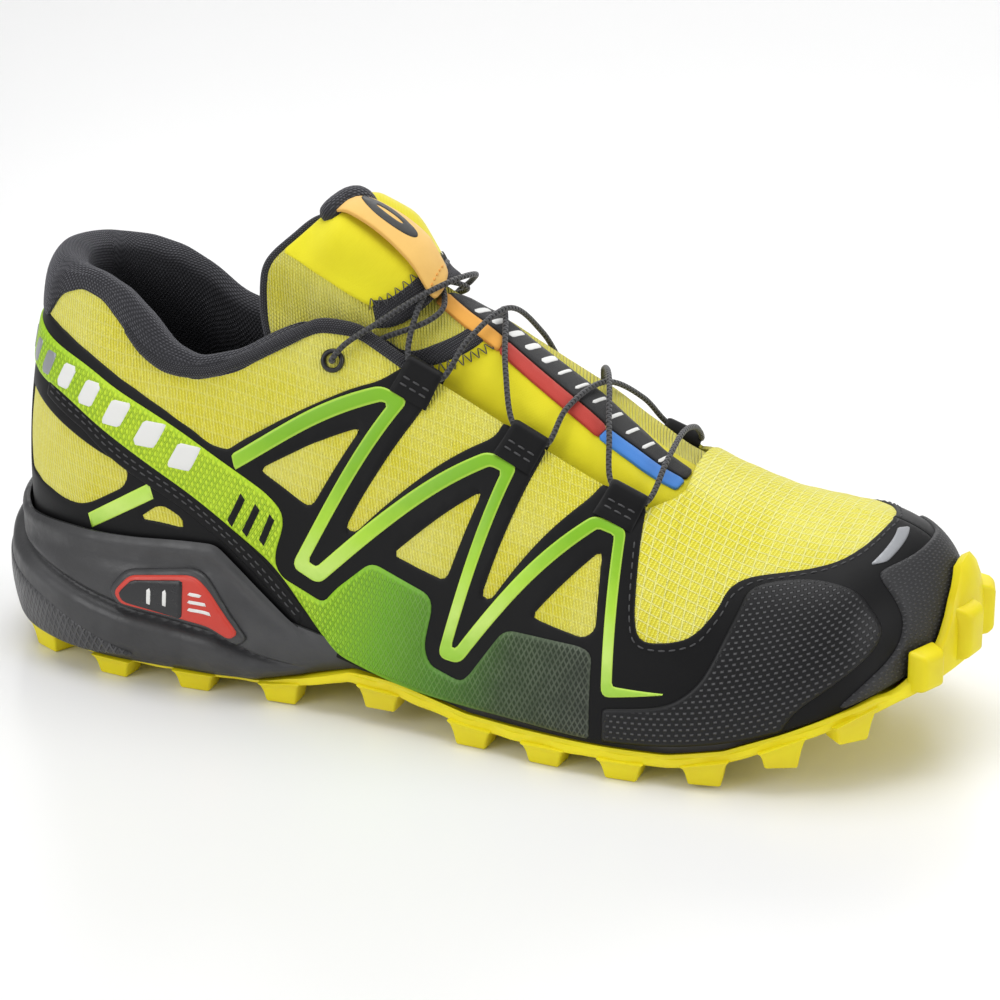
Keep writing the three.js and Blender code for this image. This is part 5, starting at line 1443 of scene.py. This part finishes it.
# By station: how far outside the feather line the outsole lies, how high its toe bumper goes up the last, and
# how high on the last and how far out and in the midsole's side goes.
SOLE_OUT = [(0, 5), (2, 4.6), (3.2, 4), (4.4, 3.4), (8.6, 3.6), (9.4, 6.5), (10, 7.5)]
BUMPER_TOP = [(9.2, 0), (9.57, .1), (9.72, .28), (9.88, .4), (10, .41)]
CUP_TOP = eased([
    (0, .1), (1, .09), (1.8, .12), (2.5, .14), (3.2, .17), (3.6, .11), (3.9, .068), (4.15, .045),
    (4.6, .042), (10, .047)], 0.1)
CUP_OUT = eased([(0, 5.2), (2, 5.2), (3.1, 4.6), (3.7, 3.2), (4.1, 1.6), (4.5, -.25), (10, -.25)], 0.1)
CUP_IN = [(0, CUP_INNER), (4.2, CUP_INNER), (4.6, -.25), (10, -.25)]


def underside(x):
    """The skin's height over the ground, under the lugs' roots."""
    return along(UNDERSIDE, x)


def level_of(n):
    """The level direction nearest to a normal."""
    return unit(n * [1, 1, 0])


def edge_at(p, out, z):
    """The feather line moved outwards, at a height."""
    p = np.asarray(p, float)
    at = last_at(p, 0) + level_of(last_normal(p, 0)) * np.asarray(out, float)[..., None]
    at[..., 2] = z
    return at


def low_of(p):
    """The outsole skin's underside, below the feather line."""
    return underside(last_at(p, 0)[..., 0])


def hem(p):
    """How far the midsole's side comes down over the outsole's edge, under the heel."""
    return 2.1 * fall(3.5, 4.2, fold(p))


def middle_at(p, z):
    """The sole's middle line, where both sides of a section meet."""
    q = np.clip(fold(p), 1.8, 8.5)
    a, b = last_at(q, 0), last_at(FULL - q, 0)
    at = np.stack([a[..., 0], (a[..., 1] + b[..., 1]) / 2, np.zeros_like(q)], -1)
    at[..., 2] = z(q)
    return at


def footbed(p):
    return last_at(p, textile_low(p))[..., 2] - 0.6


def welded(piece):
    """Joins the points that lie on one another, so that the skin is one closed surface."""
    made = bmesh.new()
    made.from_mesh(piece.data)
    bmesh.ops.remove_doubles(made, verts=made.verts, dist=2e-6)
    bmesh.ops.dissolve_degenerate(made, edges=made.edges, dist=1e-7)
    bmesh.ops.recalc_face_normals(made, faces=made.faces)
    made.to_mesh(piece.data)
    made.free()
    return piece


def ring_loft(name, section, material, count=360, sharp=50):
    stations = np.linspace(0, FULL, count, endpoint=False)
    rows = np.stack(section(stations), 1)
    uv = rows[..., :2].reshape(-1, 2)
    piece = make(name, rows.reshape(-1, 3), grid_faces(*rows.shape[:2], True), material, uv=uv)
    welded(piece)
    piece.data.set_sharp_from_angle(angle=math.radians(sharp))
    return piece


def outsole_section(p):
    low, out, v = low_of(p), along(SOLE_OUT, fold(p)), along(BUMPER_TOP, fold(p))
    top = low + SKIN - hem(p)
    step = (top - low) / SKIN
    rise = smooth(9.1, 9.4, fold(p))[:, None]
    turn = np.interp(p, STEPS, ROUND)
    fore = smooth(4.2, 4.9, fold(p)) * (1 - rise[:, 0])
    out = out - 1.1 * fore - hem(p)
    wave = 0.4 * np.sin(turn * 2 * math.pi / 17) * (1 - rise[:, 0])
    inner = BUMPER_INNER - 1.9 * fore - hem(p)

    def lip(share, n):
        up = top + 1.0 * fore * smooth(0.2, 1.0, share)
        return edge_at(p, n, up) * (1 - rise) + over(LAST_SURFACE, p, v * share, n) * rise
    return [
        middle_at(p, low_of), edge_at(p, out - 3, low), edge_at(p, out - 1.2, low + 0.1 * step),
        edge_at(p, out - 0.3 + wave, low + 0.5 * step), edge_at(p, out + wave, low + 1.1 * step),
        edge_at(p, out + wave, low + 1.7 * step),
        lip(0.2, out - 0.2 + wave), lip(0.35, out - 0.5), lip(0.55, out - 0.6 - 0.3 * fore),
        lip(0.75, out - 0.7 - 0.5 * fore), lip(0.92, out - 0.9 - 0.5 * fore),
        lip(1.0, np.maximum(out - 1.5, inner)), *(lip(share, inner) for share in (1, 0.7, 0.35, 0)),
        middle_at(p, lambda q: low_of(q) + SKIN)]


def block(name, levels, bevel=0.7):
    """A block through rings of four corners, from its foot up, with rounded edges."""
    made = bmesh.new()
    rings = [[made.verts.new(tuple((np.array(q) - ORIGIN) * MM)) for q in level] for level in levels]
    for a, b in zip(rings, rings[1:]):
        for k in range(4):
            made.faces.new((a[k], a[(k + 1) % 4], b[(k + 1) % 4], b[k]))
    made.faces.new(rings[0][::-1])
    made.faces.new(rings[-1])
    bmesh.ops.recalc_face_normals(made, faces=made.faces)
    edges = [e for e in made.edges if e.calc_face_angle(0) > 0.5]
    bmesh.ops.bevel(made, geom=edges, offset=bevel * MM, segments=3, profile=0.5, affect="EDGES")
    mesh = bpy.data.meshes.new(name)
    made.to_mesh(mesh)
    made.free()
    smooth_shaded(mesh, MAT["rubber"], 40)
    piece = placed(name, mesh)
    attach(piece, "shoe")
    return piece


CORNERS = np.array([(-1, -1), (1, -1), (1, 1), (-1, 1)])


def lug(x, y, length, width, turn):
    """A tapered stud under the outsole, that spreads where it meets the skin."""
    foot = max(0.0, float(underside(x)) - LUG_HEIGHT)
    cos, sin = math.cos(turn), math.sin(turn)
    levels = []                     # each level's share of the full size, and how far up it is
    for share, up in ((0.72, 0.0), (0.84, 0.55), (0.95, 0.85), (1.12, 1.0)):
        corners = CORNERS * [length * share / 2, width * share / 2]
        corners = corners @ np.array([[cos, sin], [-sin, cos]]) + [x, y]
        top = underside(corners[:, 0]) + 1.0
        levels.append(np.column_stack([corners, foot + (top - foot) * up]))
    return block("lug", levels)


# Each edge lug's station and turn; the inner lugs' x; each toe lug's station, half height and height.
EDGE_LUGS = [
    (1.2, .5), (2.2, .15), (2.95, 0), (3.8, 0), (4.8, .05), (5.7, .1), (6.4, .1), (7.1, 0), (7.8, -.15),
    (8.4, -.4), (8.95, -.8)]
INNER_LUGS = [28, 50, 72, 94, 154, 176, 198, 220, 242]
TOE_LUGS = [(9.45, 5.6, 0.06), (9.8, 7.4, 0.12), (10.2, 7.4, 0.12), (10.55, 5.6, 0.06)]
TOE_LEVELS = [(-3.5, 5.6, 1.15), (1.2, 4.7, 1.0), (2.8, 3.8, 0.84)]  # how far out, half width, share of height
blocks = [ring_loft("outsole_rubber", outsole_section, MAT["rubber"])]
for station, turn in EDGE_LUGS:
    for sign, station in ((1, station), (-1, FULL - station)):
        x, y, _ = edge_at(station, along(SOLE_OUT, fold(station)) - 5.4, 0)
        blocks.append(lug(x, y, 13, 10.5, -sign * turn))
for x in INNER_LUGS:
    middle = -1.5 if x < 120 else -5 + 5 * (x - 154) / 88
    for sign in (-1, 1):
        blocks.append(lug(x, middle + sign * 11, 9, 12, sign * 0.5))
for station, half_tall, v in TOE_LUGS:
    out = along(SOLE_OUT, fold(station))
    at, level = last_at(station, v), level_of(last_normal(station, v))
    beside = np.array([-level[1], level[0], 0])
    levels = [[at + level * (out + deep) + beside * a * wide + np.array([0, 0, b * half_tall * share])
               for a, b in CORNERS]
              for deep, wide, share in TOE_LEVELS]
    blocks.append(block("toe_lug", levels, 1.1))
finish(joined("outsole_rubber", blocks), "outsole_rubber", "outsole")

CUP_FLAT = np.array([33.0, 38.0])
GROOVE = eased([(0, .86), (.6, .8), (1.2, .7), (2.0, .54), (2.5, .43), (3.4, .32), (4.2, .22)], 0.12)


def cup_at(p, t):
    """The midsole's side: a belly under its top roll."""
    p, t = floats(p, t)
    out = along(CUP_OUT, fold(p))
    low = edge_at(p, out - 0.6, low_of(p) + SKIN + GAP - hem(p))
    lip = over(LAST_SURFACE, p, along(CUP_TOP, fold(p)), np.maximum(out - 2.6, along(CUP_IN, fold(p))))
    belly = 4 * t * (1 - t) * np.clip(out, 0, 3.4)
    return low + (lip - low) * t[..., None] + level_of(last_normal(p, 0)) * belly[..., None]


def cup_normal(p, t):
    return normal_of(cup_at, np.asarray(p, float), np.clip(t, 0.02, 0.98))


def cup_relief(p, t):
    """A groove from the heel to under the badge, a fuller roll below it and a shelf at the top."""
    line = along(GROOVE, fold(p))
    fade = fall(3.5, 4.1, fold(p))
    groove = -1.9 * np.exp(-((t - line) / 0.03) ** 2)
    below = 1.7 * smooth(0.0, 0.11, line - t) * smooth(0.0, 0.2, t)
    shelf = 1.0 * np.exp(-((t - 0.95) / 0.06) ** 2) - 0.5 * np.exp(-((t - 0.82) / 0.07) ** 2)
    return (groove + below) * fade + shelf * fade


CUP_SURFACE = (cup_at, cup_normal)


def midsole_section(p):
    sides = []
    for t in np.linspace(0, 1, 80):
        at = cup_at(p, np.full(len(p), t))
        soft = -0.9 * math.exp(-(t / 0.03) ** 2)
        sides.append(at + cup_normal(p, np.full(len(p), t)) * (cup_relief(p, t) + soft)[:, None])
    inner = along(CUP_IN, fold(p))
    return [middle_at(p, lambda q: low_of(q) + SKIN + GAP), *sides,
            over(LAST_SURFACE, p, along(CUP_TOP, fold(p)), inner), edge_at(p, inner, footbed(p)),
            middle_at(p, footbed)]


finish(ring_loft("midsole_cup", midsole_section, MAT["eva"], 560), "midsole_foam", "midsole")

pad_p = np.linspace(-2.5, 2.5, 60)
crash = [(q, 0.05) for q in pad_p[::6]] + [(q, 0.62 - 0.085 * q * q) for q in pad_p[::-5]]
finish(panel("heel_pad", crash, CUP_SURFACE, 0.2, 2.1, MAT["pad"],
             radius=3, flat=CUP_FLAT, edge=1.6, pitch=2.0), "crash_pad_foam", "heel_crash_pad")

BADGE = [(2.33, .6), (2.47, .74), (3.06, .785), (3.48, .5), (3.4, .405), (2.4, .515)]
PLATE = [(2.385, .6), (2.5, .708), (2.96, .742), (2.96, .462), (2.43, .54)]
BEZEL = [(2.88 + (x - 2.88) * 1.12, .595 + (t - .595) * 1.24) for x, t in BADGE]
BEZEL_TURNS, BADGE_TURNS = [3.5, 2.5, 4, 1.6, 2, 2], [2, 2, 3, 1.4, 1.8, 1.5]


def on_cup(name, outline, low, high, material, **options):
    return panel(name, outline, CUP_SURFACE, low, high, MAT[material], flat=CUP_FLAT, **options)


for side, place in SIDES:
    finish(on_cup("bezel", place(BEZEL), 0.1, 1.7, "eva", edge=1.6, radius=place_turns(side, BEZEL_TURNS)),
           "midsole_foam")
    finish(on_cup("badge_rim", place(BADGE), 0.6, 2.6, "red", edge=0.7, pitch=1.4,
                  radius=place_turns(side, BADGE_TURNS)), "badge_red", "badge_frame_" + side)
    face = [on_cup("badge_plate", place(PLATE), 2.3, 3.0, "black", edge=0.3, pitch=1.4, radius=1.2)]
    for i, x in enumerate((2.64, 2.78)):
        corners = [(x, .545), (x + .035, .543), (x + .035, .665), (x, .663)]
        face.append(on_cup(f"stroke_{i}", place(corners), 2.9, 3.25, "white", edge=0.2, pitch=1, radius=0.3))
    for i, t in enumerate((.64, .585, .53)):
        end = 3.14 + .045 * i
        corners = [(3.01, t), (end, t - .004), (end, t + .02), (3.01, t + .024)]
        face.append(on_cup(f"line_{i}", place(corners), 2.5, 2.85, "white", edge=0.15, pitch=1, radius=0.2))
    finish(joined("badge_face_" + side, face), "badge_black", "badge_plate_" + side)


def sockliner_section(p):
    """A flat bed with a rim that rises round the heel: how far in, and how high over the footbed."""
    rim = 5 * fall(2, 3.6, fold(p))
    edge = [(-5, 2), (-5, 5.4 + rim), (-5.4, 6 + rim), (-6.2, 6 + rim), (-7.6, 5.9 + rim * 0.6), (-11, 5.9)]
    return [middle_at(p, lambda q: footbed(q) + 2),
            *(edge_at(p, np.full(len(p), float(out)), footbed(p) + up) for out, up in edge),
            middle_at(p, lambda q: footbed(q) + 6)]


finish(ring_loft("sockliner_knit", sockliner_section, MAT["sock"]), "sockliner_knit", "sockliner")

# ------------------------------------------------------------------ stitching on the film

SEAMS = [
    (1.4, [(1.3, .375), (1.85, .345), (2.35, .29), (2.9, .235), (3.3, .188), (3.62, .142), (3.98, .08)]),
    (1.4, [(1.3, .387), (1.85, .357), (2.35, .302), (2.9, .247), (3.3, .2), (3.64, .154), (4.02, .09)]),
    (FILM_HIGH, [(7.03, .56), (7.08, .36), (7.14, .285), (7.42, .287), (7.68, .32), (7.86, .425),
    (7.91, .49), (8.1, .55), (8.8, .61), (9.13, .662), (9.6, .77), (9.97, .8)])]
SEAM_STRIP = [(1.25, .383), (1.85, .351), (2.35, .296), (2.9, .241), (3.3, .194), (3.63, .148), (4.03, .08)]


def seam_line(line, high):
    p, v = (rounded(line, 4, closed=False, step=0.8) / FLAT).T
    return over(LAST_SURFACE, p, v, np.full(len(p), high)), last_normal(p, v)


for side, _ in SIDES:
    strip = ribbon(on_side(side, SEAM_STRIP), 4.4, 3)
    overlay("seam_strip_" + side, strip, 0.85, 1.4, "film", "black_film", raw=True, edge=0.6, pitch=1.8)
    lines = [seam_line(on_side(side, line), high) for high, line in SEAMS]
    finish(thread("film_stitches_" + side, lines, "film"), "black_film")
